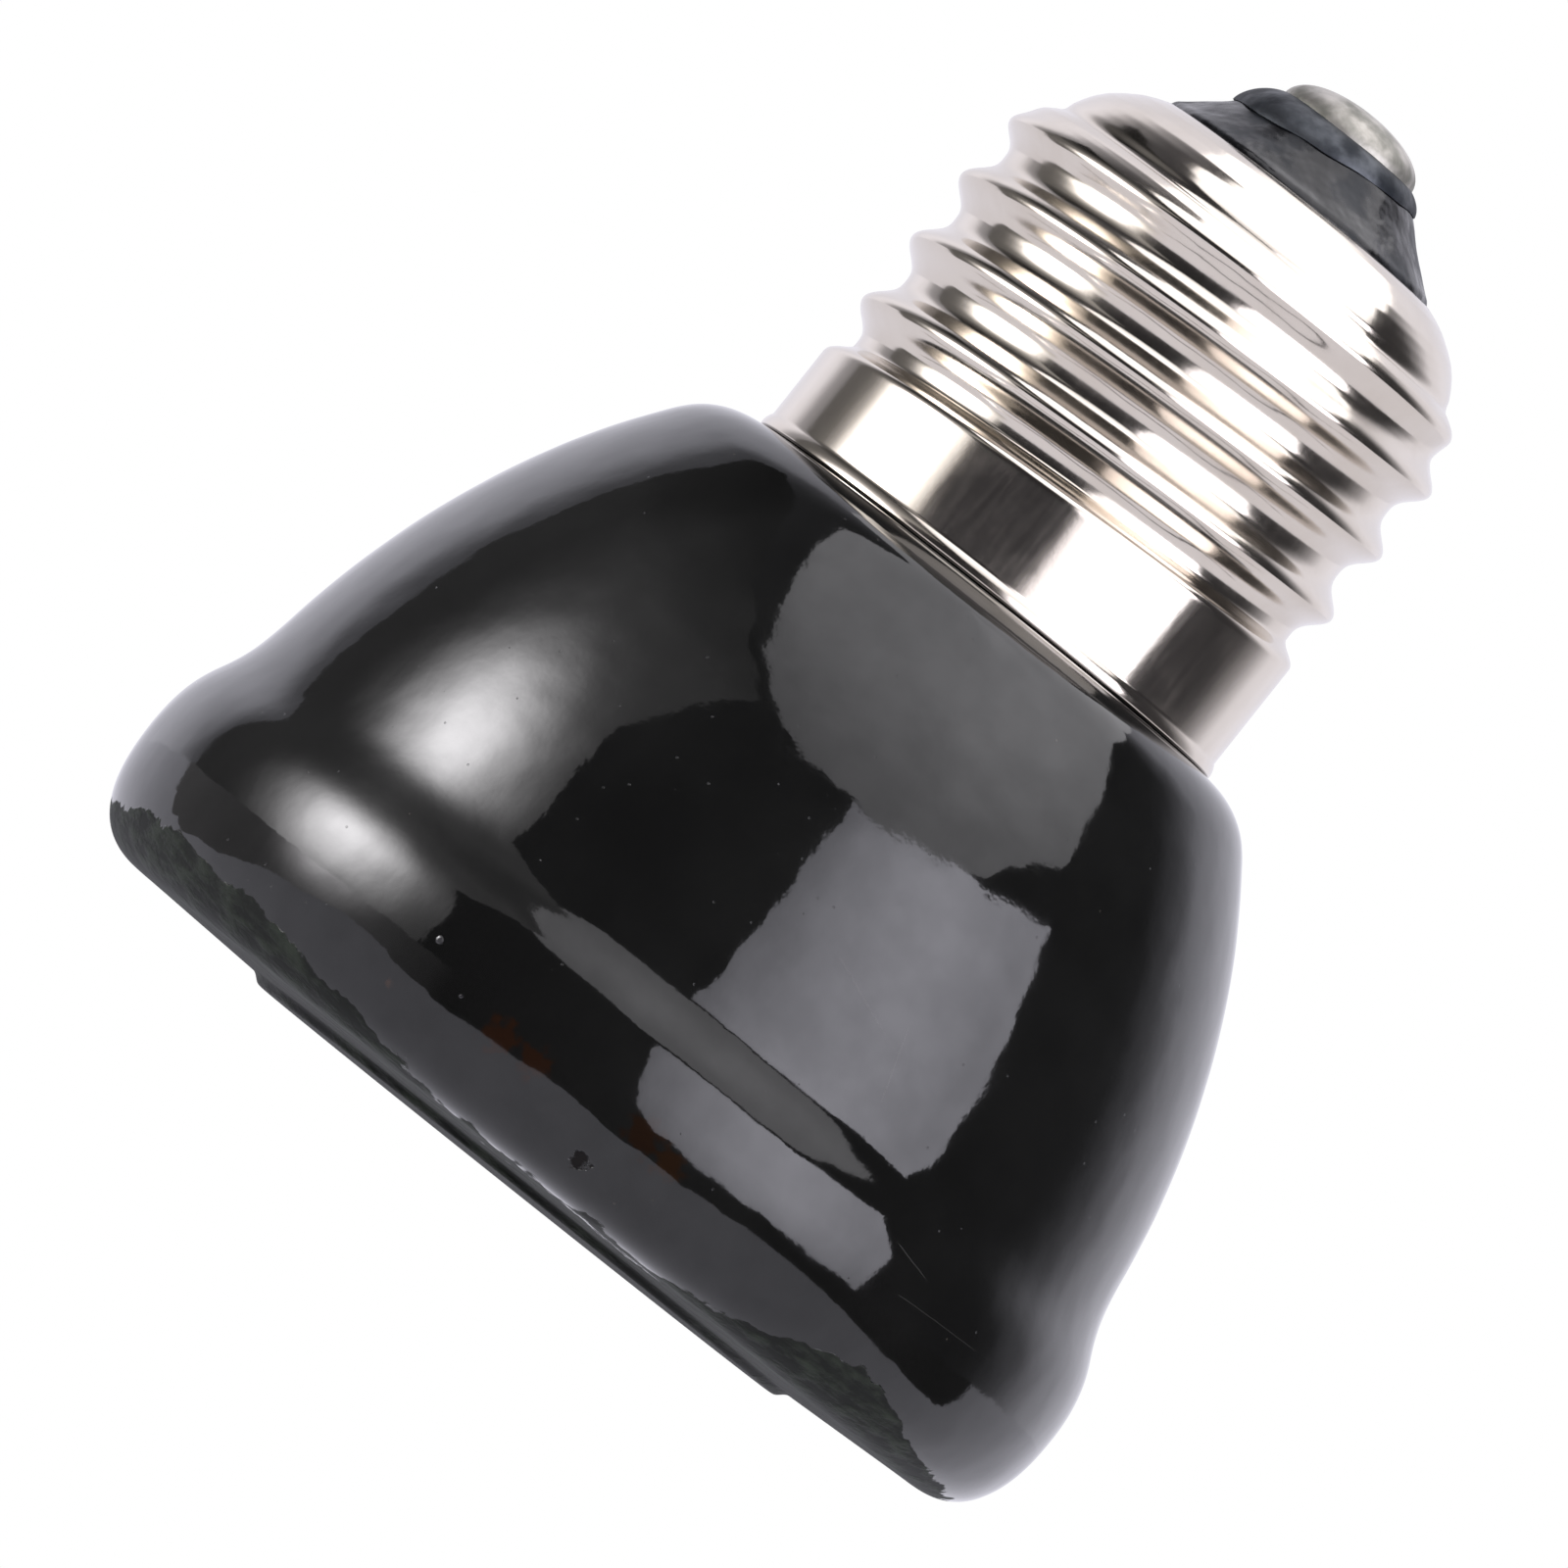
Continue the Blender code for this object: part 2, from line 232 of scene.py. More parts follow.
def section_normals(section: np.ndarray) -> np.ndarray:
    """Unit normals of a half section that is walked upwards on the outside.

    Args:
        section: Points as radius and height, one in each row.

    Returns:
        Outward normals, as (outwards, up).
    """
    way = np.gradient(section, axis=0)
    way /= np.linalg.norm(way, axis=1, keepdims=True) + 1e-12
    return np.stack([way[:, 1], -way[:, 0]], axis=1)


def wound(
    radius: np.ndarray | float, height: np.ndarray | float, turn: np.ndarray
) -> np.ndarray:
    """Points, or ways, at radii and heights over turns about the axis, in radians."""
    across, ahead = radius * np.cos(turn), radius * np.sin(turn)
    return np.stack([across, ahead, height + 0 * across], axis=-1)


def turned(section: np.ndarray, around: int) -> np.ndarray:
    """Turns a half section about the axis.

    Args:
        section: Points as radius and height, one in each row.
        around: Number of points in a ring.

    Returns:
        Grid of points, with a row for each point of the section.
    """
    return wound(section[:, :1], section[:, 1:], np.arange(around) * math.tau / around)


def surface(
    name: str, rings: np.ndarray, material: Material, looped: bool, sharp: float = 40.0
) -> Piece:
    """Makes a closed surface of rings about the axis, with its faces outwards.

    Neighbouring rings are joined by four-sided faces. A looped surface joins its last ring to
    its first. Any other closes on the axis at both ends, with a fan round a pole.

    Args:
        name: Name of the piece.
        rings: Grid of points in millimetres: ring, place in the ring, coordinate.
        material: Finish of the piece.
        looped: Whether the section is a closed loop.
        sharp: Angle in degrees over which an edge stays sharp.

    Returns:
        The new object, at the origin.
    """
    count, around = rings.shape[:2]
    points = rings.reshape(-1, 3)
    index = np.arange(count * around).reshape(count, around)
    after = np.roll(index, -1, axis=1)
    if looped:
        low, low_after = index, after
        high, high_after = np.roll(index, -1, axis=0), np.roll(after, -1, axis=0)
        fans = np.empty((0, 3), int)
    else:
        low, low_after, high, high_after = index[:-1], after[:-1], index[1:], after[1:]
        points = np.concatenate([points, rings[[0, -1]].mean(axis=1)])
        first, last = np.full(around, count * around), np.full(around, count * around + 1)
        foot_fan = np.stack([after[0], index[0], first], axis=1)
        fans = np.concatenate([foot_fan, np.stack([index[-1], after[-1], last], axis=1)])
    quads = np.stack([low, low_after, high_after, high], axis=-1).reshape(-1, 4)
    corners = points[quads]
    across = np.cross(corners[:, 2] - corners[:, 0], corners[:, 3] - corners[:, 1])
    if (corners.mean(axis=1) * across).sum() < 0:
        quads, fans = quads[:, ::-1], fans[:, ::-1]
    mesh = bpy.data.meshes.new(name)
    mesh.from_pydata((points * MM).tolist(), [], quads.tolist() + fans.tolist())
    mesh.shade_smooth()
    mesh.set_sharp_from_angle(angle=math.radians(sharp))
    mesh.materials.append(material)
    piece = bpy.data.objects.new(name, mesh)
    bpy.context.scene.collection.objects.link(piece)
    return piece


def stand_for(piece: Piece, node: str) -> Piece:
    """Lets a piece ride on the one body and stand for a solid.

    Args:
        piece: The new piece.
        node: Name of the solid.

    Returns:
        The same piece.
    """
    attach(piece, ROOT_BODY)
    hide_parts(node)
    return piece


@dataclass(frozen=True)
class Finish:
    """Base of every finish: a material that is named for what the real one is."""

    name: str

    def start(self, *lumps: Point) -> tuple[Material, Tree, Socket, list[Socket]]:
        """Makes the bare material and the noises of its pattern.

        Args:
            lumps: For each noise, the size of its lumps in millimetres, and its octaves.

        Returns:
            The material, its tree, the object's own coordinates, and the noises, from 0 to 1.
        """
        material = bpy.data.materials.new(self.name)
        material.use_nodes = True
        tree = material.node_tree
        place = add(tree, "TexCoord", output="Object")
        noises = [
            add(tree, "TexNoise", {"Vector": place, "Scale": 1 / (cell * MM), "Detail": octaves})
            for cell, octaves in lumps
        ]
        return material, tree, place, noises


@dataclass(frozen=True)
class Spot:
    """A small area on the glaze: its middle and its reach, in millimetres."""

    place: Place
    radius: float


@dataclass(frozen=True)
class BlemishOrPaintedHighlight(Spot):
    """A stain on the glaze, or a painted highlight, and how deep it goes in, or out where that is
    negative.
    """

    colour: str
    dent: float = 0.0


@dataclass(frozen=True)
class Hairline(Spot):
    """A straight hairline scratch that lies across a direction."""

    across: Place


@dataclass(frozen=True)
class BlackGlaze(Finish):
    """Black gloss glaze on cast ceramic, brushed on and fired.

    It is a clear black glass over the clay: a sharp mirror of the studio with a faint orange
    peel, pinholes where gas came out, specks of iron, hairline scratches, and a dry matt face
    where the piece stood in the kiln.
    """

    deep: str = "#111111"
    thin: str = "#171717"
    fleck: str = "#3a3733"
    dry: str = "#141613"
    dry_light: str = "#2e342c"
    scratched: str = "#5a5856"
    glass_ior: float = 1.52
    gloss: float = 0.045
    peel_depth: float = 0.004
    pinhole_depth: float = 0.012
    grain_depth: float = 0.08
    blemishes_and_highlights: tuple[BlemishOrPaintedHighlight, ...] = ()
    hairlines: tuple[Hairline, ...] = ()

    def inside(
        self, tree: Tree, place: Socket, wander: Socket, spot: Spot, soft: float
    ) -> Socket:
        """Mask of a spot whose edge wanders.

        Args:
            tree: Node tree of the material.
            place: Coordinates.
            wander: Noise between 0 and 1 that moves the edge by up to 0.4 of the radius.
            spot: The spot.
            soft: Width of the edge in millimetres.

        Returns:
            1 inside the spot and 0 outside.
        """
        middle = tuple(c * MM for c in spot.place)
        reach = spot.radius * MM
        away = add(tree, "VectorMath", {0: place, 1: middle}, "Value", operation="DISTANCE")
        moves = {0: wander, 1: 0.25, 2: 0.75, 3: -0.4 * reach, 4: 0.4 * reach}
        moved = add(tree, "MapRange", moves, **SMOOTH)
        away = add(tree, "Math", {0: away, 1: moved}, operation="ADD")
        edge = {0: away, 1: reach - soft * MM, 2: reach, 3: 1.0, 4: 0.0}
        return add(tree, "MapRange", edge, **SMOOTH)

    def sparse_dots(
        self, tree: Tree, place: Socket, spacing: float, radius: float, share: float
    ) -> Socket:
        """Mask of round dots in a share of the cells of a random pattern.

        Args:
            tree: Node tree of the material.
            place: Coordinates.
            spacing: Mean distance between cells in millimetres.
            radius: Radius of a dot in millimetres.
            share: Share of the cells that hold a dot.

        Returns:
            1 in a dot and 0 elsewhere.
        """
        cells = add(tree, "TexVoronoi", {"Vector": place, "Scale": 1 / (spacing * MM)}).node
        rare = add(tree, "SeparateColor", {"Color": cells.outputs["Color"]})
        kept = add(tree, "MapRange", {0: rare, 1: 1 - share, 2: 1.02 - share}, **SMOOTH)
        away = cells.outputs["Distance"]
        edge = {0: away, 1: 0.6 * radius / spacing, 2: radius / spacing, 3: 1.0, 4: 0.0}
        near = add(tree, "MapRange", edge, **SMOOTH)
        return add(tree, "Math", {0: near, 1: kept}, operation="MULTIPLY")

    def scratch(self, tree: Tree, place: Socket, wander: Socket, hairline: Hairline) -> Socket:
        """Mask of one hairline, 0.07 mm wide so that the camera can still see it.

        Args:
            tree: Node tree of the material.
            place: Coordinates.
            wander: Noise between 0 and 1 that bends the line.
            hairline: The scratch.

        Returns:
            1 on the line and 0 elsewhere.
        """
        middle = tuple(c * MM for c in hairline.place)
        way = add(tree, "VectorMath", {0: place, 1: middle}, operation="SUBTRACT")
        off = {0: way, 1: hairline.across}
        off = add(tree, "VectorMath", off, "Value", operation="DOT_PRODUCT")
        moves = {0: wander, 1: 0.2, 2: 0.8, 3: -0.04 * MM, 4: 0.04 * MM}
        moved = add(tree, "MapRange", moves, **SMOOTH)
        bent = add(tree, "Math", {0: off, 1: moved}, operation="ADD")
        beside = add(tree, "Math", {0: bent}, operation="ABSOLUTE")
        edge = {0: beside, 1: 0.01 * MM, 2: 0.035 * MM, 3: 1.0, 4: 0.0}
        thin = add(tree, "MapRange", edge, **SMOOTH)
        near = self.inside(tree, place, wander, hairline, 0.5 * hairline.radius)
        return add(tree, "Math", {0: thin, 1: near}, operation="MULTIPLY")

    def bare_clay(self, tree: Tree, place: Socket, wander: Socket, ragged: Socket) -> Socket:
        """Mask of the bare clay, which ends at the bell's own bare line.

        Args:
            tree: Node tree of the material.
            place: Coordinates.
            wander: Noise between 0 and 1 that moves the line by up to 0.22 mm.
            ragged: Finer noise that moves it by up to 0.05 mm.

        Returns:
            1 on the clay and 0 on the glaze.
        """
        height = add(tree, "SeparateXYZ", {"Vector": place}, "Z")
        edge = add(tree, "Attribute", output="Fac", attribute_name=BARE_LINE)
        for noise, reach in ((wander, 0.22 * MM), (ragged, 0.05 * MM)):
            moves = {0: noise, 1: 0.3, 2: 0.7, 3: -reach, 4: reach}
            moved = add(tree, "MapRange", moves, **SMOOTH)
            edge = add(tree, "Math", {0: edge, 1: moved}, operation="ADD")
        over = add(tree, "Math", {0: height, 1: edge}, operation="SUBTRACT")
        return add(tree, "MapRange", {0: over, 1: -0.1 * MM, 2: 0.0, 3: 1.0, 4: 0.0}, **SMOOTH)

    def make(self) -> Material:
        """Builds the material: colour, then roughness, then relief, then the mirror's strength."""
        material, tree, place, noises = self.start(
            (0.5, 3.0), (2.6, 3.0), (7.0, 3.0), (3.0, 3.0), (0.7, 2.0), (2.0, 6.0)
        )
        ragged, wander, tone, haze, peel, film = noises
        tone = add(tree, "MapRange", {0: tone, 1: 0.35, 2: 0.7}, **SMOOTH)
        colour = add(tree, "Mix", {0: tone, 6: self.deep, 7: self.thin}, 2, **COLOURS)
        specks = self.sparse_dots(tree, place, 1.3, 0.07, 0.12)
        colour = add(tree, "Mix", {0: specks, 6: colour, 7: self.fleck}, 2, **COLOURS)
        dent = self.sparse_dots(tree, place, 0.9, 0.06, 0.45)
        dull, scratches = 0.0, 0.0
        # Stains and pits, and one reddish dot in a pinhole that is a painted highlight.
        for mark in self.blemishes_and_highlights:
            mask = self.inside(tree, place, ragged, mark, 0.5 * mark.radius)
            colour = add(tree, "Mix", {0: mask, 6: colour, 7: mark.colour}, 2, **COLOURS)
            if mark.dent:
                depth = mark.dent / self.pinhole_depth
                deep = add(tree, "Math", {0: mask, 1: depth}, operation="MULTIPLY")
                dent = add(tree, "Math", {0: dent, 1: deep}, operation="ADD")
            if mark.dent > 0:
                dull = add(tree, "Math", {0: dull, 1: mask}, operation="MAXIMUM")

        bare = self.bare_clay(tree, place, wander, ragged)
        brushed = add(tree, "Mapping", {"Vector": place, "Scale": (1.0, 1.0, 3.5)})
        mottle = {"Vector": brushed, "Scale": 1 / (1.8 * MM), "Detail": 8.0}
        mottle = add(tree, "TexNoise", mottle)
        mottle = add(tree, "MapRange", {0: mottle, 1: 0.38, 2: 0.74}, **SMOOTH)
        clay = add(tree, "Mix", {0: mottle, 6: self.dry, 7: self.dry_light}, 2, **COLOURS)
        colour = add(tree, "Mix", {0: bare, 6: colour, 7: clay}, 2, **COLOURS)
        for hairline in self.hairlines:
            mask = self.scratch(tree, place, wander, hairline)
            scratches = add(tree, "Math", {0: scratches, 1: mask}, operation="MAXIMUM")
        shown = add(tree, "Math", {0: scratches, 1: 0.16}, operation="MULTIPLY")
        colour = add(tree, "Mix", {0: shown, 6: colour, 7: self.scratched}, 2, **COLOURS)

        dull = add(tree, "Math", {0: dull, 1: bare}, operation="MAXIMUM")
        gloss = {0: haze, 1: 0.3, 2: 0.8, 3: self.gloss, 4: self.gloss + 0.03}
        gloss = add(tree, "MapRange", gloss, **SMOOTH)
        for mask, rougher in ((scratches, 0.15), (dull, 0.55)):
            more = add(tree, "Math", {0: mask, 1: rougher}, operation="MULTIPLY")
            gloss = add(tree, "Math", {0: gloss, 1: more}, operation="ADD")

        sunk = add(tree, "Math", {0: dent, 1: -1.0}, operation="MULTIPLY")
        grain = add(tree, "Math", {0: mottle, 1: bare}, operation="MULTIPLY")
        relief = add(tree, "Bump", {"Height": peel, "Distance": self.peel_depth * MM})
        for height, depth in ((sunk, self.pinhole_depth), (grain, self.grain_depth)):
            finer = {"Height": height, "Distance": depth * MM, "Normal": relief}
            relief = add(tree, "Bump", finer)

        # A film of dust and handling takes a little off the mirror in clouds. Bare clay is
        # porous, so its own mirror is much weaker than that of the glass.
        film = add(tree, "MapRange", {0: film, 1: 0.3, 2: 0.7, 3: 0.465, 4: 0.525}, **SMOOTH)
        weaker = add(tree, "MapRange", {0: dull, 3: 1.0, 4: 0.28}, **SMOOTH)
        shine = add(tree, "Math", {0: film, 1: weaker}, operation="MULTIPLY")
        shader = tree.nodes["Principled BSDF"]
        feed(tree, shader, {"Base Color": colour, "Roughness": gloss, "Normal": relief})
        feed(tree, shader, {"Specular IOR Level": shine, "IOR": self.glass_ior})
        return material


@dataclass(frozen=True)
class NickelPlate(Finish):
    """Bright nickel on rolled brass sheet: a warm satin mirror with fine drawing streaks."""

    metal: str = "#d7cfc4"
    worn: str = "#c8beb0"
    gloss: float = 0.12

    def make(self) -> Material:
        """Builds the material."""
        lumps = (4.0, 4.0), (1.1, 3.0), (0.12, 2.0)
        material, tree, place, (cloud, uneven, fine) = self.start(*lumps)
        cloud = add(tree, "MapRange", {0: cloud, 1: 0.35, 2: 0.75}, **SMOOTH)
        share = add(tree, "Math", {0: cloud, 1: 0.45}, operation="MULTIPLY")
        colour = add(tree, "Mix", {0: share, 6: self.metal, 7: self.worn}, 2, **COLOURS)
        drawn = add(tree, "Mapping", {"Vector": place, "Scale": (1.0, 1.0, 0.1)})
        streak = {"Vector": drawn, "Scale": 1 / (0.3 * MM), "Detail": 2.0}
        streak = add(tree, "TexNoise", streak)
        streak = add(tree, "MapRange", {0: streak, 1: 0.3, 2: 0.75, 3: -0.01, 4: 0.015}, **SMOOTH)
        gloss = add(tree, "MapRange", {0: cloud, 3: self.gloss, 4: self.gloss + 0.05}, **SMOOTH)
        gloss = add(tree, "Math", {0: gloss, 1: streak}, operation="ADD")
        relief = add(tree, "Bump", {"Height": uneven, "Distance": 0.004 * MM})
        relief = add(tree, "Bump", {"Height": fine, "Distance": 0.0006 * MM, "Normal": relief})
        shader = tree.nodes["Principled BSDF"]
        feed(tree, shader, {"Base Color": colour, "Roughness": gloss, "Normal": relief})
        feed(tree, shader, {"Metallic": 1.0})
        return material


@dataclass(frozen=True)
class MouldedGlass(Finish):
    """Black insulating glass, pressed hot into the crown: a liquid gloss with soft ripples."""

    deep: str = "#0c0c0e"
    cloudy: str = "#26282c"
    glass_ior: float = 1.52

    def make(self) -> Material:
        """Builds the material. Its cloudy patches are weathered, and their mirror is weaker."""
        lumps = (2.4, 5.0), (1.6, 2.0), (0.5, 3.0)
        material, tree, _, (cloud, ripple, fine) = self.start(*lumps)
        cloud = add(tree, "MapRange", {0: cloud, 1: 0.42, 2: 0.68}, **SMOOTH)
        colour = add(tree, "Mix", {0: cloud, 6: self.deep, 7: self.cloudy}, 2, **COLOURS)
        gloss = add(tree, "MapRange", {0: cloud, 3: 0.2, 4: 0.42}, **SMOOTH)
        shine = add(tree, "MapRange", {0: cloud, 3: 0.34, 4: 0.18}, **SMOOTH)
        relief = add(tree, "Bump", {"Height": ripple, "Distance": 0.16 * MM})
        relief = add(tree, "Bump", {"Height": fine, "Distance": 0.012 * MM, "Normal": relief})
        shader = tree.nodes["Principled BSDF"]
        feed(tree, shader, {"Base Color": colour, "Roughness": gloss, "Normal": relief})
        feed(tree, shader, {"Specular IOR Level": shine, "IOR": self.glass_ior})
        return material


@dataclass(frozen=True)
class SoftMetal(Finish):
    """Soft grey metal, tinned or soldered: dull and cloudy, with a fine cast grain."""

    bright: str = "#c9c8c4"
    dull: str = "#7d827f"
    gloss: float = 0.32
    grain: float = 0.5
    depth: float = 0.012

    def make(self) -> Material:
        """Builds the material."""
        material, tree, _, (cloud, grain) = self.start((1.8, 4.0), (self.grain, 3.0))
        cloud = add(tree, "MapRange", {0: cloud, 1: 0.35, 2: 0.7}, **SMOOTH)
        colour = add(tree, "Mix", {0: cloud, 6: self.bright, 7: self.dull}, 2, **COLOURS)
        gloss = add(tree, "MapRange", {0: cloud, 3: self.gloss, 4: self.gloss + 0.15}, **SMOOTH)
        relief = add(tree, "Bump", {"Height": grain, "Distance": self.depth * MM})
        shader = tree.nodes["Principled BSDF"]
        feed(tree, shader, {"Base Color": colour, "Roughness": gloss, "Normal": relief})
        feed(tree, shader, {"Metallic": 1.0})
        return material


@dataclass(frozen=True)
class SetCement(Finish):
    """Basing cement, set hard: a pale, chalky and sandy paste."""

    paste: str = "#c3bba9"
    sand: str = "#a39a87"

    def make(self) -> Material:
        """Builds the material."""
        material, tree, _, (grains,) = self.start((0.35, 4.0))
        share = add(tree, "MapRange", {0: grains, 1: 0.4, 2: 0.65}, **SMOOTH)
        colour = add(tree, "Mix", {0: share, 6: self.paste, 7: self.sand}, 2, **COLOURS)
        relief = add(tree, "Bump", {"Height": grains, "Distance": 0.06 * MM})
        shader = tree.nodes["Principled BSDF"]
        feed(tree, shader, {"Base Color": colour, "Roughness": 0.9, "Normal": relief})
        return material


@dataclass
class GlazedBell:
    """The ceramic body: pad, rolled bead, hollow, flank, shoulder, and the neck in the cap.

    The leans hold height and angle, the bare line azimuth and height, and each wave its height,
    the size of its cells and its seed.
    """

    around: int = 400
    pad_radius: float = 15.4
    pad_proud: float = 0.4
    pad_edge: float = 0.8
    face_radius: float = 22.6
    face_crown: float = 0.3
    bead_radius: float = 26.5
    flank_top_radius: float = 16.8
    flank_top: float = 32.67
    shoulder_round: float = 4.6
    flank_top_lean: float = 37.0
    side_leans: tuple[Point, ...] = (
        (6.7, 0.0), (7.4, 4.2), (8.2, 9.0), (9.1, 14.4), (9.9, 21.7), (10.6, 26.6), (11.4, 21.0),
        (12.3, 14.5), (13.2, 10.7), (14.1, 9.1),
    )
    front_leans: tuple[Point, ...] = (
        (5.8, 0.0), (6.06, 1.6), (6.5, 4.0), (6.95, 6.0), (7.39, 8.4), (7.83, 11.3), (8.27, 14.6),
        (8.72, 18.4), (9.16, 22.4), (9.6, 25.4), (10.05, 26.9), (10.5, 26.7), (10.94, 24.8),
        (11.39, 21.6), (11.83, 18.0), (12.27, 15.0), (13.0, 11.8), (14.1, 9.1),
    )
    bare_line: tuple[Point, ...] = (
        (-110, 2.0), (-79, 2.5), (-68, 2.92), (-60.7, 3.03), (-53.4, 2.91), (-45.7, 2.8),
        (-39.1, 2.6), (-33.3, 2.23), (-27.9, 1.87), (-22.7, 1.46), (-17.7, 1.15), (-7.3, 0.88),
        (14.3, 0.8), (22.8, 0.99), (27.6, 1.47), (31.7, 1.92), (34.7, 2.59), (37.9, 3.12),
        (41.6, 3.44), (47.6, 2.93), (57.8, 1.91), (74.7, 1.3), (110, 1.0), (150, 2.2), (180, 1.4),
    )
    neck_radius: float = 11.2
    neck_height: float = 14.5
    neck_chamfer: float = 0.8
    well_radius: float = 2.8
    well_floor: float = 12.0
    waves: tuple[tuple[float, float, int], ...] = (
        (0.05, 14.0, 11), (0.02, 5.0, 12), (0.009, 1.6, 13),
    )
    mean_swell: float = 0.06

    @property
    def height(self) -> float:
        """Height of the shoulder's flat top."""
        lean = math.radians(self.flank_top_lean)
        return self.flank_top + self.shoulder_round * (1 - math.sin(lean))

    def hollow(self, leans: tuple[Point, ...]) -> np.ndarray:
        """Points after the widest place, up through the hollow to the waist.

        The section leans in by a smoothed table of angles, and the radius loses the tangent of
        that angle with each step up.

        Args:
            leans: Height and lean in degrees, from the widest place up.

        Returns:
            The points, one in each row.
        """
        height = np.linspace(leans[0][0], leans[-1][0], 433)
        lean = read_off(leans, height)
        window = np.hanning(41)
        padded = np.concatenate([2 * lean[0] - lean[20:0:-1], lean, np.full(20, lean[-1])])
        lean = np.convolve(padded, window / window.sum(), "valid")
        drop = np.cumsum(np.tan(np.radians(lean))) * (height[1] - height[0])
        return np.stack([self.bead_radius - drop, height], axis=1)[6::6]

    def outside(self, leans: tuple[Point, ...]) -> np.ndarray:
        """Half section from the pad's foot up to the shoulder's flat top.

        Args:
            leans: Lean of the hollow by height.

        Returns:
            Points as radius and height, one in each row.
        """
        out, up = (1.0, 0.0), leaning(0)
        foot = (self.pad_radius - self.pad_edge / 2, 0.0)
        pad_top = (self.pad_radius + self.pad_edge / 2, self.pad_proud)
        face_edge = (self.face_radius, self.pad_proud + self.face_crown)
        bead = (self.bead_radius, leans[0][0])
        hollow = self.hollow(leans)
        waist = (float(hollow[-1, 0]), float(hollow[-1, 1]))
        flank_top = (self.flank_top_radius, self.flank_top)
        lean = math.radians(self.flank_top_lean)
        shoulder = (
            flank_top[0] - self.shoulder_round * math.cos(lean),
            flank_top[1] - self.shoulder_round * math.sin(lean),
        )
        waist_way, top_way = leaning(leans[-1][1]), leaning(self.flank_top_lean)
        return np.concatenate(
            [
                [foot],
                flow(foot, out, pad_top, out, 0.4, 8),
                line(pad_top, face_edge, 16),
                flow(face_edge, out, bead, up, 0.45, 34),
                hollow,
                flow(waist, waist_way, flank_top, top_way, 0.34, 84),
                arc(shoulder, self.shoulder_round, lean, math.pi / 2, 18),
            ]
        )

    def mark_bare_line(self, piece: Piece) -> None:
        """Writes the height up to which the clay is bare at each azimuth, for the glaze.

        Args:
            piece: The bell.
        """
        place = np.empty(len(piece.data.vertices) * 3, np.float32)
        piece.data.vertices.foreach_get("co", place)
        x, y, _ = place.reshape(-1, 3).T
        level = read_off(self.bare_line, np.degrees(np.arctan2(x, -y)), period=360) * MM
        paint = piece.data.attributes.new(BARE_LINE, "FLOAT", "POINT")
        paint.data.foreach_set("value", level.astype(np.float32))

    def build(self, finish: Finish) -> Piece:
        """Builds the bell and lets it stand for the solid ceramic body.

        The hollow is pressed in deeper in front than at the sides and the back, so the outside
        goes from one half section to another by ((1 + cos azimuth) / 2)^1.5. It is then moved
        along its normal by three wave fields, of 14, 5 and 1.6 mm, faded out at the pad and at
        the cap's seat.

        Args:
            finish: Finish of the glaze.

        Returns:
            The piece.
        """
        outside, front = self.outside(self.side_leans), self.outside(self.front_leans)
        turn = np.arange(self.around) * math.tau / self.around
        share = ((1 - np.sin(turn)) / 2)[:, None] ** 1.5
        rings = turned(outside, self.around)
        rings = rings + share * (turned(front, self.around) - rings)
        normal = section_normals((outside + front) / 2)
        off = wound(normal[:, :1], normal[:, 1:], turn)
        swell = sum(high * wave_field(rings, cell, seed) for high, cell, seed in self.waves)
        level = outside[:, 1]
        calm = np.clip(level / 2.5, 0, 1) * np.clip((self.height - level) / 1.5, 0, 1)
        swell = (swell - self.mean_swell) * calm[:, None]
        rings = rings + off * swell[..., None]
        top, cut = self.height + self.neck_height, self.neck_chamfer
        inside = np.array(
            [
                (self.neck_radius, self.height),
                (self.neck_radius, top - cut),
                (self.neck_radius - cut, top),
                (self.well_radius, top),
                (self.well_radius, self.well_floor),
                (0.4, self.well_floor),
            ]
        )
        face = line((0.6, 0.0), (float(outside[0, 0]), 0.0), 10)[:-1]
        grid = np.concatenate([turned(face, self.around), rings, turned(inside, self.around)])
        piece = surface("glazed_bell", grid, finish.make(), looped=False)
        self.mark_bare_line(piece)
        return stand_for(piece, "ceramic_body")


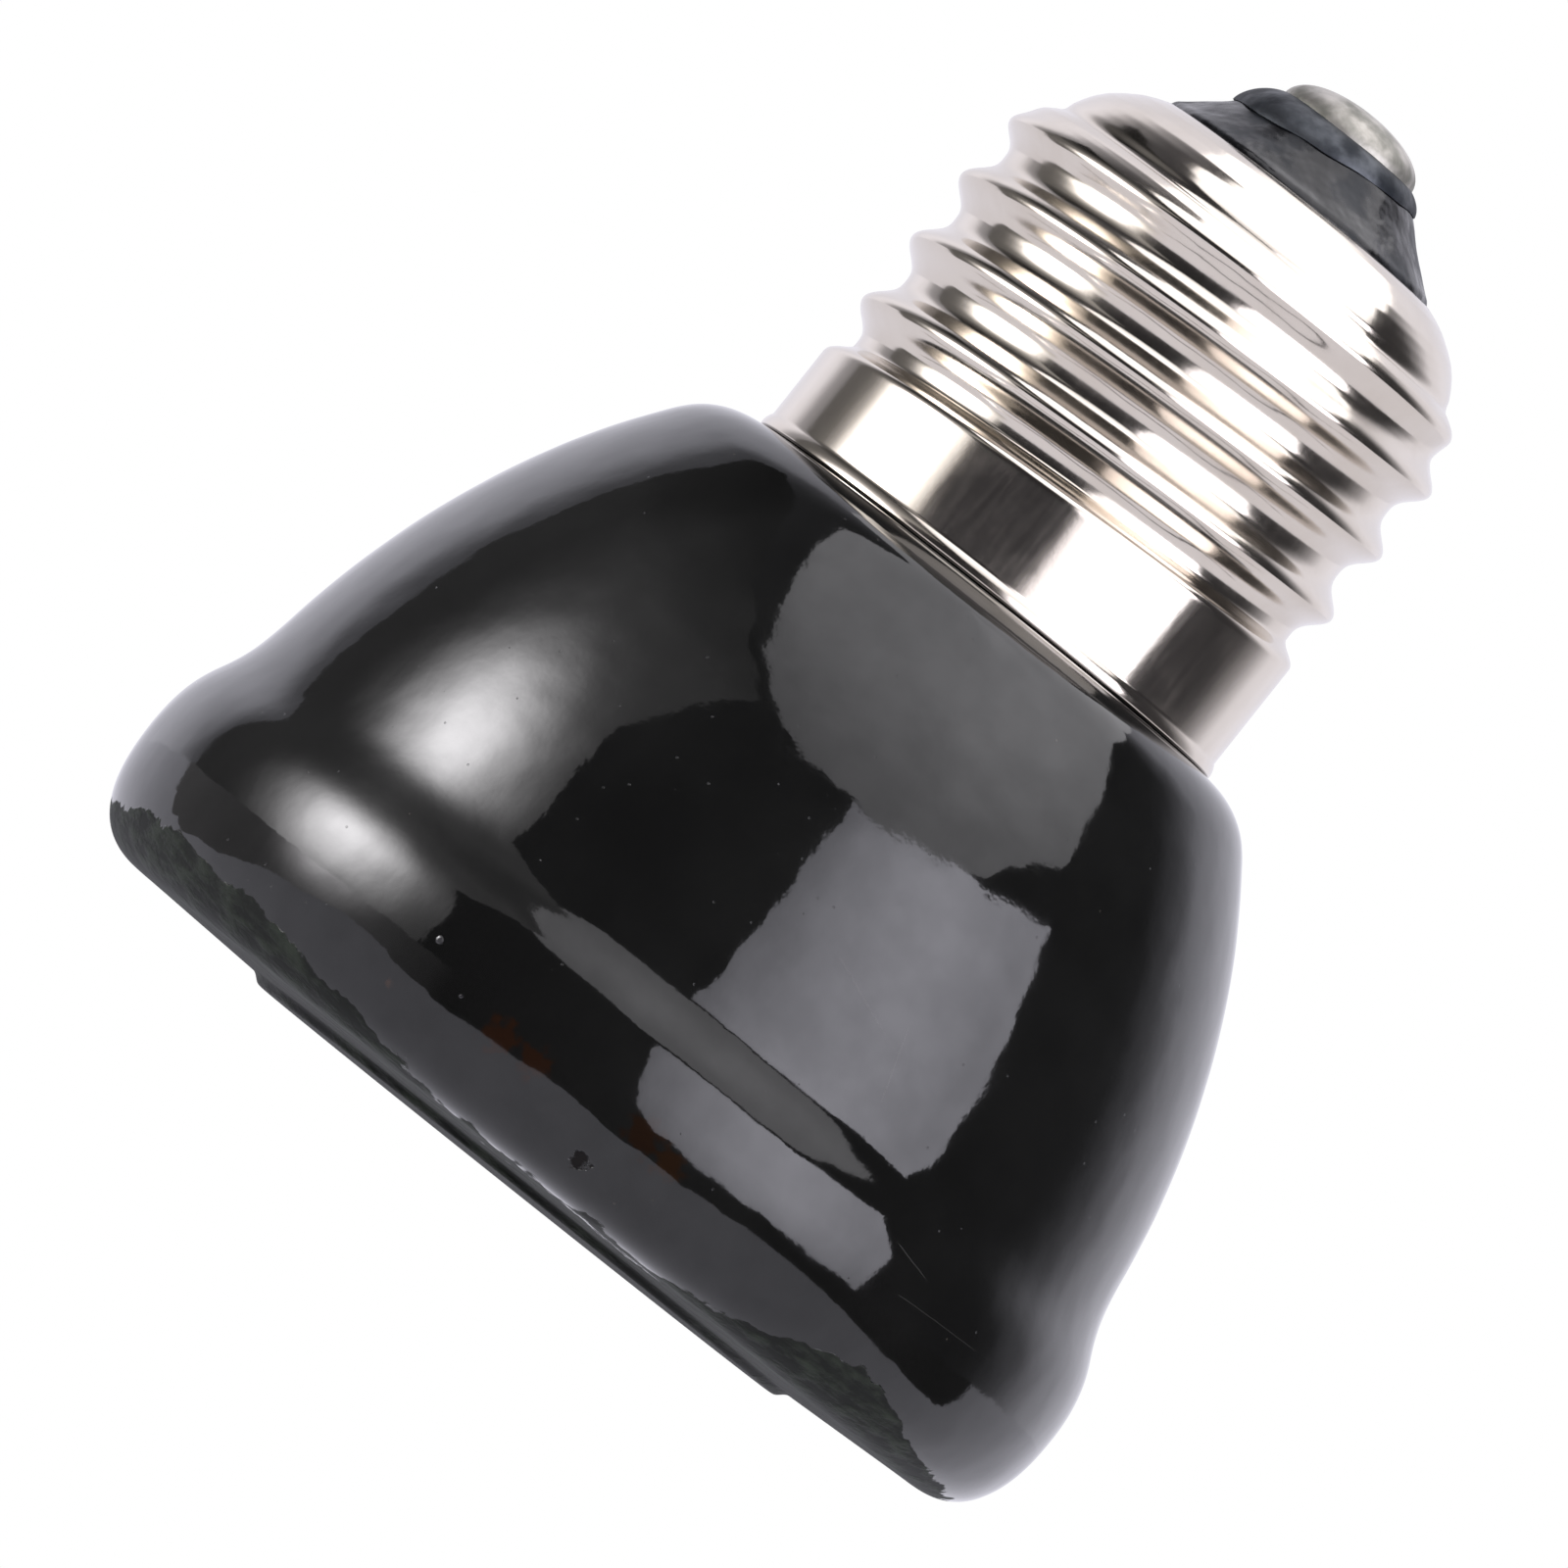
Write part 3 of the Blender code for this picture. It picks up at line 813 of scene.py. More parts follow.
@dataclass
class ScrewShell:
    """The rolled screw shell: lip, collar, round thread and crown, with one wall throughout.

    The crown's line holds radius and height over the seat. The run-out holds the heights over
    the thread's start between which the thread fades out.
    """

    seat: float
    around: int = 240
    wall: float = 0.3
    lip_flare: float = 0.2
    lip_height: float = 0.5
    lip_drop: float = 0.12
    collar_radius: float = 12.95
    collar_height: float = 3.8
    thread_proud: float = 0.1
    thread_depth: float = 1.07
    thread_pitch: float = 3.629
    thread_middle: float = 10.0
    thread_top: float = 17.2
    thread_start: float = 0.45
    back_to_right: float = 0.75
    groove_start: float = 0.2
    root_breadth: float = 1.6
    shoulder_start: float = 0.55
    shoulder_length: float = 1.05
    run_out: Point = (13.6, 15.5)
    crown_line: tuple[Point, ...] = (
        (12.3, 17.2), (12.3, 18.65), (12.22, 18.95), (12.0, 19.25), (11.6, 19.52), (11.25, 19.72),
        (11.13, 19.92), (11.04, 20.25), (10.8, 20.7), (10.5, 21.15), (10.1, 21.6), (9.53, 22.05),
        (8.85, 22.5), (8.3, 22.76), (7.8, 22.95),
    )

    @property
    def hole(self) -> Point:
        """Edge of the hole for the glass, as radius and height."""
        return (self.crown_line[-1][0], self.seat + self.crown_line[-1][1])

    def thread_radius(self, over: np.ndarray, turn: np.ndarray) -> np.ndarray:
        """Radius of the rolled thread, whose crest climbs by one pitch in a turn.

        Rolling leaves round crests and broad roots. With the phase p from the crest, the rise
        over the root is the depth times ((1 + cos p) / 2)^breadth.

        Args:
            over: Heights over the thread's start.
            turn: Fractions of a turn.

        Returns:
            Outer radii.
        """
        phase = (over / self.thread_pitch - self.thread_start - turn) * math.tau
        rise = ((1 + np.cos(phase)) / 2) ** self.root_breadth
        crest = self.collar_radius + self.thread_proud
        return crest - self.thread_depth * (1 - rise)

    def thread_share(self, over: np.ndarray, turn: np.ndarray) -> np.ndarray:
        """How far the thread is formed: the first groove fades in at the back.

        The plain collar goes on past the first crest and drops into the groove over it at a
        shoulder. That groove starts at the back and is full a fifth of a turn later. At the
        crown the thread fades out with the smooth step 3t^2 - 2t^3.

        Args:
            over: Heights over the thread's start.
            turn: Fractions of a turn.

        Returns:
            Share between 0 and 1.
        """
        onward = (turn + self.back_to_right) % 1.0
        crest = self.thread_pitch * (self.thread_start + onward - self.back_to_right)
        lower = self.step((over - crest - self.shoulder_start) / self.shoulder_length)
        past = over - crest - self.thread_pitch
        upper = self.step((past - self.shoulder_start) / self.shoulder_length)
        fade_in = np.maximum(lower * self.step(onward / self.groove_start), upper)
        start, end = self.run_out
        return fade_in * (1 - self.step((over - start) / (end - start)))

    @staticmethod
    def step(share: np.ndarray) -> np.ndarray:
        """Smooth step from 0 to 1."""
        share = np.clip(share, 0, 1)
        return share**2 * (3 - 2 * share)

    def crown_rows(self) -> np.ndarray:
        """Outer face from the top of the thread to the hole, evenly spaced and smoothed.

        Returns:
            Points as radius and height over the seat, one in each row.
        """
        stops = np.array(self.crown_line)
        way = np.concatenate([[0], np.cumsum(np.linalg.norm(np.diff(stops, axis=0), axis=1))])
        along = np.arange(0, way[-1], 0.02)
        dense = np.stack([np.interp(along, way, stops[:, k]) for k in (0, 1)], axis=1)
        window = np.hanning(19)
        window /= window.sum()
        inner = np.stack([np.convolve(dense[:, k], window, "valid") for k in (0, 1)], axis=1)
        return np.concatenate([dense[:1], inner[2::5], stops[-1:]])

    def outer_rows(self) -> tuple[np.ndarray, np.ndarray, np.ndarray]:
        """Rows up the outer face: plain radius, height, and the wall's tilt in radians.

        Returns:
            The three values, one of each for a row.
        """
        share = np.linspace(0, 1, 9)[:-1]
        climb = (self.lip_height + self.lip_drop) * share - self.lip_drop
        lip = np.stack([self.collar_radius + self.lip_flare * (1 - share**2), climb], axis=1)
        height = np.arange(self.lip_height, self.thread_top, 0.1)
        plain = np.where(height < self.thread_middle, self.collar_radius, self.crown_line[0][0])
        crown = self.crown_rows()
        rows = np.concatenate([lip, np.stack([plain, height], axis=1), crown])
        slope = np.gradient(crown, axis=0)
        tilt = np.zeros(len(rows))
        tilt[-len(crown) :] = np.arctan2(-slope[:, 0], slope[:, 1])
        return rows[:, 0], self.seat + rows[:, 1], tilt

    def build(self, finish: Finish) -> Piece:
        """Builds the shell and lets it stand for the solid one.

        Both faces follow the thread, half a wall off the middle of the sheet along its tilt.
        The hidden inner face has every second row. At the lip and at the hole the sheet ends in
        a half round.

        Args:
            finish: Finish of the plating.

        Returns:
            The piece.
        """
        radius, height, tilt = self.outer_rows()
        turn = np.arange(self.around) / self.around
        over = height[:, None] - self.seat - self.collar_height
        share = self.thread_share(over, turn)
        outer = radius[:, None] + share * (self.thread_radius(over, turn) - radius[:, None])
        half = self.wall / 2
        middle = outer - half * np.cos(tilt)[:, None]
        level = height - half * np.sin(tilt)

        bend = np.linspace(0, math.pi, 6)[1:-1]
        rows = np.arange(len(height))
        back = np.append(rows[:0:-2], 0)
        order = np.concatenate([rows, np.full(4, rows[-1]), back, np.zeros(4, int)])
        way = np.concatenate([tilt, tilt[-1] + bend, tilt[back] + math.pi, math.pi + bend])
        spread = middle[order] + half * np.cos(way)[:, None]
        raised = level[order] + half * np.sin(way)
        grid = wound(spread, raised[:, None], turn * math.tau)
        grid[..., :2] *= (1 + 0.0006 * wave_field(grid, 6.0, 21))[..., None]
        piece = surface("rolled_screw_shell", grid, finish.make(), looped=True, sharp=60.0)
        return stand_for(piece, "screw_shell")


@dataclass
class GlassPlug:
    """The black glass in the crown: a flange under it, a neck in its hole and a cone above."""

    shell: ScrewShell
    around: int = 160
    base: float = 55.3
    bore: float = 1.8
    flange_radius: float = 10.0
    top_radius: float = 4.3
    top: float = 60.85
    neck_gap: float = 0.26
    foot_drop: float = 0.1
    foot_in: float = 0.22
    foot_rise: float = 0.48
    foot_lean: float = 53.0
    top_lean: float = 46.0

    def cone(self) -> np.ndarray:
        """Outer face over the hole: upright at its foot, then leaning in to the flat top.

        Returns:
            Points as radius and height, one in each row.
        """
        hole, way = self.shell.hole, leaning(self.foot_lean)
        foot, top = (hole[0] - self.neck_gap, hole[1] - self.foot_drop), (self.top_radius, self.top)
        bend = (foot[0] - self.foot_in, foot[1] + self.foot_rise)
        slope = flow(bend, way, top, leaning(self.top_lean), 0.33, 28)
        return np.concatenate([[foot], flow(foot, leaning(2), bend, way, 0.4, 6), slope])

    def section(self) -> np.ndarray:
        """Half section, walked from the bore out under the crown and up the cone.

        Returns:
            Points as radius and height, one in each row.
        """
        cone = self.cone()
        flange = (self.flange_radius, self.base)
        neck = (float(cone[0, 0]), float(cone[0, 1]) - 0.45)
        return np.concatenate(
            [
                [(self.bore, self.base)],
                line((self.bore, self.base), flange, 6),
                flow(flange, leaning(12), neck, leaning(78), 0.4, 10),
                cone,
                line((self.top_radius, self.top), (self.bore, self.top), 4),
                line((self.bore, self.top), (self.bore, self.base), 8)[:-1],
            ]
        )

    def build(self, finish: Finish) -> Piece:
        """Builds the glass and lets it stand for the solid one.

        The turned section swells and dips by wave fields of 3 and 1.3 mm, as pressed glass does,
        and is calm at its foot and under the eyelet.

        Args:
            finish: Finish of the glass.

        Returns:
            The piece.
        """
        section = self.section()
        grid = turned(section, self.around)
        above = np.clip((section[:, 1] - self.shell.hole[1]) / 0.5, 0, 1)
        above = above * np.clip((self.top - 0.5 - section[:, 1]) / 0.8, 0.15, 1)
        ripple = 0.12 * wave_field(grid, 3.0, 31) + 0.05 * wave_field(grid, 1.3, 32) - 0.1
        ripple = ripple * above[:, None]
        grid[..., :2] *= (1 + ripple / np.maximum(section[:, :1], 1.0))[..., None]
        piece = surface("glass_plug", grid, finish.make(), looped=True)
        return stand_for(piece, "glass_insulator")


@dataclass
class ContactTip:
    """The eyelet that drapes over the glass, and the dome of solder that closes it."""

    glass: GlassPlug
    around: int = 144
    skirt_mean: float = 60.25
    skirt_tilt: float = 0.45
    skirt_gap: float = 0.03
    hem_in: float = 0.12
    brow_radius: float = 3.85
    brow_turn: float = 0.35
    brow: float = 61.6
    stem_outer: float = 1.5
    stem_bore: float = 0.95
    stem_foot: float = 55.3
    dome_radius: float = 3.72
    dome_top: float = 63.17
    dome_power: float = 2.1

    def build_eyelet(self, finish: Finish) -> Piece:
        """Builds the eyelet and lets it stand for the solid contact.

        Its skirt ends on the cone at a height that rises from the left to the right of the
        photograph and wavers by a wave field. From there the cap closes to the brow along a
        flattened quarter of an ellipse, and the stem goes down through the glass.

        Args:
            finish: Finish of the tinned metal.

        Returns:
            The piece.
        """
        turn = np.arange(self.around) * math.tau / self.around
        waver = 0.16 * wave_field(wound(4.8, 0.0, turn), 2.6, 41)
        edge = self.skirt_mean + self.skirt_tilt * np.cos(turn) + waver
        edge_radius = read_off(self.glass.cone()[:, ::-1], edge) + self.skirt_gap
        climb = np.linspace(0, math.pi / 2, 22)[:, None]
        inner = self.brow_radius - self.brow_turn
        radius = inner + (edge_radius - inner) * np.cos(climb) ** 1.35
        height = edge + (self.brow - edge) * np.sin(climb) ** 1.15
        lift = wound(radius, height, turn)
        bulge = 0.05 * wave_field(lift, 1.4, 42)
        lift[..., :2] *= (1 + bulge / radius)[..., None]
        hem_row = wound(edge_radius - self.hem_in, edge - self.skirt_gap, turn)
        stem = np.array(
            [
                (self.stem_bore, self.brow),
                (self.stem_bore, self.stem_foot),
                (self.stem_outer, self.stem_foot),
                (self.stem_outer, self.skirt_mean - 0.6),
            ]
        )
        grid = np.concatenate([lift, turned(stem, self.around), hem_row[None]])
        piece = surface("contact_eyelet", grid, finish.make(), looped=True, sharp=50.0)
        return stand_for(piece, "centre_contact")

    def build_solder(self, finish: Finish) -> Piece:
        """Builds the dome of solder and lets it stand for the solid one.

        The half section is a superellipse, (r / R)^p + (h / H)^p = 1, on a wavy foot.

        Args:
            finish: Finish of the solder.

        Returns:
            The piece.
        """
        climb = np.linspace(0, math.pi / 2, 30)[:-1]
        power = 2 / self.dome_power
        foot = self.brow - 0.1
        radius = self.dome_radius * np.cos(climb) ** power
        height = foot + (self.dome_top - foot) * np.sin(climb) ** power
        section = np.stack([radius, height], axis=1)
        base = line((0.4, foot), (self.dome_radius - 0.05, foot), 5)
        grid = turned(np.concatenate([base, section]), self.around)
        grid[..., :2] *= (1 + 0.02 * wave_field(grid, 2.4, 51))[..., None]
        piece = surface("solder_dome", grid, finish.make(), looped=False, sharp=60.0)
        return stand_for(piece, "contact_solder")


@dataclass(frozen=True)
class Bulb:
    """Bright spot of a lamp behind its cloth, with a spread of its own each way, in degrees."""

    azimuth: float
    elevation: float
    left: float
    right: float
    down: float
    up: float
    level: float

    def glow(self, azimuth: np.ndarray, elevation: np.ndarray) -> np.ndarray:
        """Brightness of the cloth: a bell curve in each direction.

        Args:
            azimuth: Azimuths in degrees.
            elevation: Elevations in degrees.

        Returns:
            Linear levels, where 1 is white.
        """
        across, along = azimuth - self.azimuth, elevation - self.elevation
        across = across / np.where(across < 0, self.left, self.right)
        along = along / np.where(along < 0, self.down, self.up)
        return self.level * np.exp(-0.5 * (across**2 + along**2))


@dataclass
class Studio:
    """A pale floor, a white surround, and the cards and lamps round the object.

    A direction is an azimuth, from the camera to the right of the photograph, and an
    elevation, from the floor's plane towards the cap, both in degrees.
    """

    card_distance: float = 1000.0
    panel_distance: float = 350.0
    lamp_distance: float = 110.0
    tent_distance: float = 1080.0
    aim_height: float = 22.0
    near_bulb: Bulb = Bulb(-69.0, 8.0, 9.3, 9.8, 10.7, 7.1, 16.0)
    strip_bulb: Bulb = Bulb(-75.0, 20.0, 9.5, 11.5, 12.6, 14.0, 17.0)
    strip_foot: float = 0.03
    strip_height: float = 5.8
    bead_at_lamp: Place = (-16.3, -20.8, 5.0)
    floor_reach: Point = (20.0, 2300.0)

    def emitter(self, name: str) -> Material:
        """Glowing cloth whose brightness is the mesh's own glow attribute.

        Args:
            name: Name of the material.

        Returns:
            The material.
        """
        material = bpy.data.materials.new(name)
        material.use_nodes = True
        tree = material.node_tree
        tree.nodes.remove(tree.nodes["Principled BSDF"])
        glow = add(tree, "Attribute", output="Color", attribute_name="glow")
        light = add(tree, "Emission", {"Color": glow})
        feed(tree, tree.nodes["Material Output"], {"Surface": light})
        return material

    def card(
        self,
        name: str,
        azimuth: np.ndarray,
        elevation: np.ndarray,
        distance: float,
        level: np.ndarray,
        tint: Place,
    ) -> Piece:
        """Hangs a curved card that only glossy surfaces see.

        The card is a patch of a sphere round the object. Its two parameters are the azimuth
        and the elevation.

        Args:
            name: Name of the card.
            azimuth: Grid of azimuths in degrees.
            elevation: Grid of elevations in degrees.
            distance: Radius of the sphere in millimetres.
            level: Grid of linear levels, where 1 is white.
            tint: Linear colour of the light.

        Returns:
            The card.
        """
        turn, rise = np.radians(azimuth), np.radians(elevation)
        points = np.stack(
            [
                distance * np.cos(rise) * np.sin(turn),
                -distance * np.cos(rise) * np.cos(turn),
                self.aim_height + distance * np.sin(rise),
            ],
            axis=-1,
        )
        rows, columns = azimuth.shape
        index = np.arange(rows * columns).reshape(rows, columns)
        low, high = index[:-1], index[1:]
        quads = np.stack([low[:, :-1], low[:, 1:], high[:, 1:], high[:, :-1]], axis=-1)
        mesh = bpy.data.meshes.new(name)
        mesh.from_pydata((points.reshape(-1, 3) * MM).tolist(), [], quads.reshape(-1, 4).tolist())
        paint = mesh.color_attributes.new("glow", "FLOAT_COLOR", "POINT")
        glow = level[..., None] * np.array(tint)
        colours = np.concatenate([glow, np.ones((rows, columns, 1))], axis=-1)
        paint.data.foreach_set("color", colours.astype(np.float32).ravel())
        mesh.materials.append(self.emitter(name))
        obj = bpy.data.objects.new(name, mesh)
        bpy.context.scene.collection.objects.link(obj)
        obj.visible_camera = False
        obj.visible_diffuse = False
        obj.visible_shadow = False
        obj.visible_transmission = False
        return obj

    def hang_tent(self) -> None:
        """Hangs the tent: dark in front, white behind, with soft edges between."""
        azimuth, elevation = np.meshgrid(np.linspace(-180, 180, 241), np.linspace(-89, 89, 90))
        stops = (
            (-180, 0.92), (-160, 0.95), (-145, 1.12), (-136, 1.05), (-127, 0.42), (-112, 0.18),
            (-98, 0.09), (-46, 0.03), (80, 0.03), (102, 0.05), (108, 0.09), (119, 0.38),
            (133, 1.0), (150, 1.05), (165, 0.95), (180, 0.92),
        )
        # Higher up, the dark front reaches further round on both sides.
        drawn = np.maximum(elevation - 25, 0) * np.where(azimuth > 0, -0.4, 0.15)
        level = read_off(stops, azimuth + drawn)
        self.card("tent", azimuth, elevation, self.tent_distance, level, (0.97, 0.96, 1.06))

    def hang_right_box(self) -> None:
        """Hangs the large soft box at the right, whose sharp edges show in the glaze."""
        top = (
            (5, 40.7), (23, 41.1), (37, 40.0), (52, 38.0), (62, 36.6), (73, 36.0), (79, 36),
        )
        left = ((-0.6, 14.0), (4, 9.0), (12, 6.6), (26, 6.0), (34, 5.4), (45, 7.4))
        right = ((-0.6, 67.5), (12, 70.2), (20, 72.5), (34, 73.2), (39, 75.5), (45, 75.5))
        across, up = np.meshgrid(np.linspace(0, 1, 71), np.linspace(0, 1, 97))
        ahead = -0.6 + 41.8 * up
        first = read_off(left, ahead)
        azimuth = first + (read_off(right, ahead) - first) * across
        elevation = np.minimum(ahead, read_off(top, azimuth) - 0.01 * (1 - up))
        stops = ((6, 2.0), (16, 3.1), (30, 4.2), (44, 4.7), (58, 4.0), (66, 3.3), (76, 3.4))
        level = read_off(stops, azimuth)
        level *= read_off(((-3, 0.6), (2, 0.75), (12, 0.95), (38, 1.0), (45, 0.75)), elevation)
        tint = (1.0, 0.985, 1.09)
        self.card("right_soft_box", azimuth, elevation, self.card_distance, level, tint)

    def hang_overhead(self) -> None:
        """Hangs the panel over the cap, whose edge shows across the flank and in the hollow."""
        edge = (
            (-180, 46), (-150, 60), (-135, 62), (-120, 73), (-108, 77), (-96, 77), (-88, 71),
            (-82, 61), (-79, 59), (-67, 55.2), (-50, 48.8), (-43, 46), (-32, 42.4), (-20, 39.8),
            (4, 39.5), (22, 39.5), (36, 38.8), (43, 37.8), (49, 38.6), (55, 41.2), (62, 42),
            (71, 42.4), (75, 44), (80, 48.4), (92, 54.6), (97, 56.6), (131, 57), (142, 54),
            (163, 47), (180, 46),
        )
        azimuth, up = np.meshgrid(np.linspace(-180, 180, 481), np.linspace(0, 1, 31))
        base = read_off(edge, azimuth)
        elevation = base + (90 - base) * up
        climb = ((39, 1.35), (44, 1.42), (48, 1.65), (52, 1.9), (57, 2.25), (64, 2.35))
        across = ((-50, 0.9), (-30, 0.9), (0, 1), (15, 1), (30, 1.15), (60, 1.15), (90, 1))
        level = read_off(climb, elevation) * read_off(across, azimuth)
        tint = (1.0, 0.985, 1.03)
        self.card("overhead_panel", azimuth, elevation, self.panel_distance, level, tint)

    def hang_left_lamp(self) -> None:
        """Hangs the near diffuser at the left, with its bulb's bright spot."""
        across, up = np.meshgrid(np.linspace(0, 1, 73), np.linspace(0, 1, 73))
        rise = -11 + 63 * up
        right = (
            (-12, -41), (8, -42), (14, -43.5), (21, -46.5), (24, -43), (29, -39), (35, -28),
            (42, -22),
        )
        azimuth = -114 + (read_off(right, rise) + 114) * across
        roof = ((-85, 52), (-70, 49), (-60, 46), (-50, 43), (-40, 39.5), (-28, 35.5))
        elevation = np.minimum(rise, read_off(roof, azimuth) - 0.01 * (1 - up))
        haze = ((-114, 0.13), (-100, 0.15), (-90, 0.25), (-80, 0.4), (-45, 0.42))
        fade = ((22, 1.0), (32, 1.0), (36, 0.6), (42, 0.4), (48, 0.1))
        level = self.near_bulb.glow(azimuth, elevation)
        level += read_off(haze, azimuth) * read_off(fade, elevation)
        tint = (1.0, 0.98, 1.0)
        self.card("left_diffuser", azimuth, elevation, self.lamp_distance, level, tint)

    def stand_dark_strip(self) -> None:
        """Stands the low dark strip in front, where the white paper is folded up and ends.

        Only the rolled bead looks down at it. The two parameters are the azimuth and the
        height. The lamp at the left shines on the strip too, as seen from the bead there.
        """
        edge = (
            (-103, 56), (-101, 54), (-85, 35.6), (-72, 31.4), (-65, 33.2), (-62, 37.2), (-59, 43),
            (-55, 44), (-52, 49), (-50, 53.6), (-44, 52), (-34, 43.7), (-22, 39.4), (-9.6, 45),
            (-2, 50.7), (5, 45.8), (19, 48.3), (30, 58), (37.5, 69), (46, 66), (53, 57.9),
            (61, 45.6), (68, 42.3), (75.5, 39.9), (85, 50), (93, 69), (95, 90),
        )
        azimuth, up = np.meshgrid(np.linspace(-103, 95, 199), np.linspace(0, 1, 24))
        radius = read_off(edge, azimuth)
        radius = radius + 0.7 * np.sin(azimuth * 0.6) + 0.35 * np.sin(azimuth * 1.3)
        turn = np.radians(azimuth)
        height = self.strip_foot + self.strip_height * up
        points = np.stack([radius * np.sin(turn), -radius * np.cos(turn), height], axis=-1)
        seen = points - np.array(self.bead_at_lamp)
        along = np.hypot(seen[..., 0], seen[..., 1])
        seen_azimuth = np.degrees(np.arctan2(seen[..., 0], -seen[..., 1]))
        level = self.strip_bulb.glow(seen_azimuth, np.degrees(np.arctan2(seen[..., 2], along)))
        haze = ((-125, 0.3), (-100, 0.3), (-60, 0.5), (-30, 0.3), (0, 0.03))
        level += read_off(haze, seen_azimuth)
        card = self.card("dark_strip", azimuth, 0 * azimuth, 1.0, level, (1.0, 0.97, 1.0))
        card.data.vertices.foreach_set("co", (points * MM).astype(np.float32).ravel())
        card.data.update()

    def paper(self) -> Material:
        """Pale matt paper, which gloss sees as evenly lit, and which is clear from below.

        Returns:
            The material.
        """
        material = bpy.data.materials.new("pale matt paper")
        material.use_nodes = True
        tree = material.node_tree
        shader = tree.nodes["Principled BSDF"]
        feed(tree, shader, {"Base Color": "#f4f4f6", "Roughness": 0.9, "Specular IOR Level": 0.1})
        rays = add(tree, "LightPath").node.outputs
        inputs = {0: rays["Is Glossy Ray"], 1: rays["Is Transmission Ray"]}
        reflected = add(tree, "Math", inputs, operation="MAXIMUM")
        white = add(tree, "Emission", {"Color": (0.9, 0.89, 0.99, 1.0)})
        lit = add(tree, "MixShader", {0: reflected, 1: shader.outputs[0], 2: white})
        back, clear = add(tree, "NewGeometry", output="Backfacing"), add(tree, "BsdfTransparent")
        sided = add(tree, "MixShader", {0: back, 1: lit, 2: clear})
        feed(tree, tree.nodes["Material Output"], {"Surface": sided})
        return material

    def lay_floor(self) -> None:
        """Lays the pale floor: a ring that only shows from above, open under the face.

        The two parameters are the turn and the radius, which grows by equal ratios.
        """
        radius = np.geomspace(*self.floor_reach, 24)
        turn = np.linspace(0, math.tau, 145)[:-1]
        points = wound(radius[:, None], 0.0, turn)
        index = np.arange(points.size // 3).reshape(len(radius), len(turn))
        after = np.roll(index, -1, axis=1)
        quads = np.stack([index[:-1], index[1:], after[1:], after[:-1]], axis=-1).reshape(-1, 4)
        mesh = bpy.data.meshes.new("floor")
        mesh.from_pydata((points.reshape(-1, 3) * MM).tolist(), [], quads.tolist())
        mesh.materials.append(self.paper())
        floor = bpy.data.objects.new("floor", mesh)
        bpy.context.scene.collection.objects.link(floor)

    def light_world(self) -> None:
        """Makes the surround white to the eye and in gloss, and half as bright on matt things."""
        world = bpy.data.worlds.new("white surround")
        bpy.context.scene.world = world
        world.use_nodes = True
        tree = world.node_tree
        rays = add(tree, "LightPath").node.outputs
        shown = rays["Is Camera Ray"]
        for kind in ("Is Glossy Ray", "Is Transmission Ray"):
            shown = add(tree, "Math", {0: shown, 1: rays[kind]}, operation="MAXIMUM")
        level = add(tree, "MapRange", {0: shown, 3: 0.5, 4: 1.0})
        feed(tree, tree.nodes["Background"], {"Color": "#ffffff", "Strength": level})

    def hang_lamp(
        self, name: str, azimuth: float, elevation: float, side: float, watts: float
    ) -> None:
        """Hangs a soft lamp that lights matt surfaces and isn't seen in gloss.

        Args:
            name: Name of the lamp.
            azimuth: Azimuth in degrees.
            elevation: Elevation in degrees.
            side: Side of the square lamp in metres.
            watts: Power.
        """
        data = bpy.data.lights.new(name, "AREA")
        data.size = side
        data.energy = watts
        lamp = bpy.data.objects.new(name, data)
        turn, rise = math.radians(azimuth), math.radians(elevation)
        lamp.location = (
            math.cos(rise) * math.sin(turn),
            -math.cos(rise) * math.cos(turn),
            self.aim_height * MM + math.sin(rise),
        )
        lamp.rotation_euler = (math.pi / 2 - rise, 0.0, turn)
        lamp.visible_glossy = False
        lamp.visible_camera = False
        bpy.context.scene.collection.objects.link(lamp)

    def build(self) -> None:
        """Sets up the whole studio."""
        self.light_world()
        self.lay_floor()
        self.hang_tent()
        self.hang_right_box()
        self.hang_overhead()
        self.hang_left_lamp()
        self.stand_dark_strip()
        self.hang_lamp("key_lamp", 40.0, 58.0, 0.8, 7.0)
        self.hang_lamp("fill_lamp", -70.0, 35.0, 0.7, 3.0)


@dataclass
class Camera:
    """The camera at the photograph's viewing angle, a little under the face's plane.

    The object's axis rises to the upper right, so the camera is rolled about its own sight line.
    """

    across: float = -1.955
    distance: float = 1200.0
    height: float = -9.15
    aim_height: float = 22.27
    axis_slope: float = 51.48
    lens: float = 599.6

    def build(self) -> None:
        """Places the camera and makes it the scene's own."""
        place = np.array([self.across, -self.distance, self.height])
        aim = np.array([self.across, 0.0, self.aim_height])
        sight = (aim - place) / np.linalg.norm(aim - place)
        level = np.array([1.0, 0.0, 0.0])
        upright = np.cross(level, sight)
        slope = math.radians(self.axis_slope)
        right = level * math.sin(slope) + upright * math.cos(slope)
        top = -level * math.cos(slope) + upright * math.sin(slope)
        matrix = np.eye(4)
        matrix[:3] = np.stack([right, top, -sight, place * MM], axis=1)
        data = bpy.data.cameras.new("camera")
        data.sensor_width = 36.0
        data.lens = self.lens
        data.clip_start, data.clip_end = 0.05, 20.0
        camera = bpy.data.objects.new("camera", data)
        bpy.context.scene.collection.objects.link(camera)
        camera.matrix_world = matrix.T.tolist()
        bpy.context.scene.camera = camera


def dress_solids(finishes: dict[str, Finish]) -> None:
    """Gives each solid that still shows its own finish.

    Args:
        finishes: Finish for each node's name.
    """
    for name, finish in finishes.items():
        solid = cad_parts[name]
        material = finish.make()
        if not solid.material_slots:
            solid.data.materials.append(material)
        for slot in solid.material_slots:
            slot.material = material


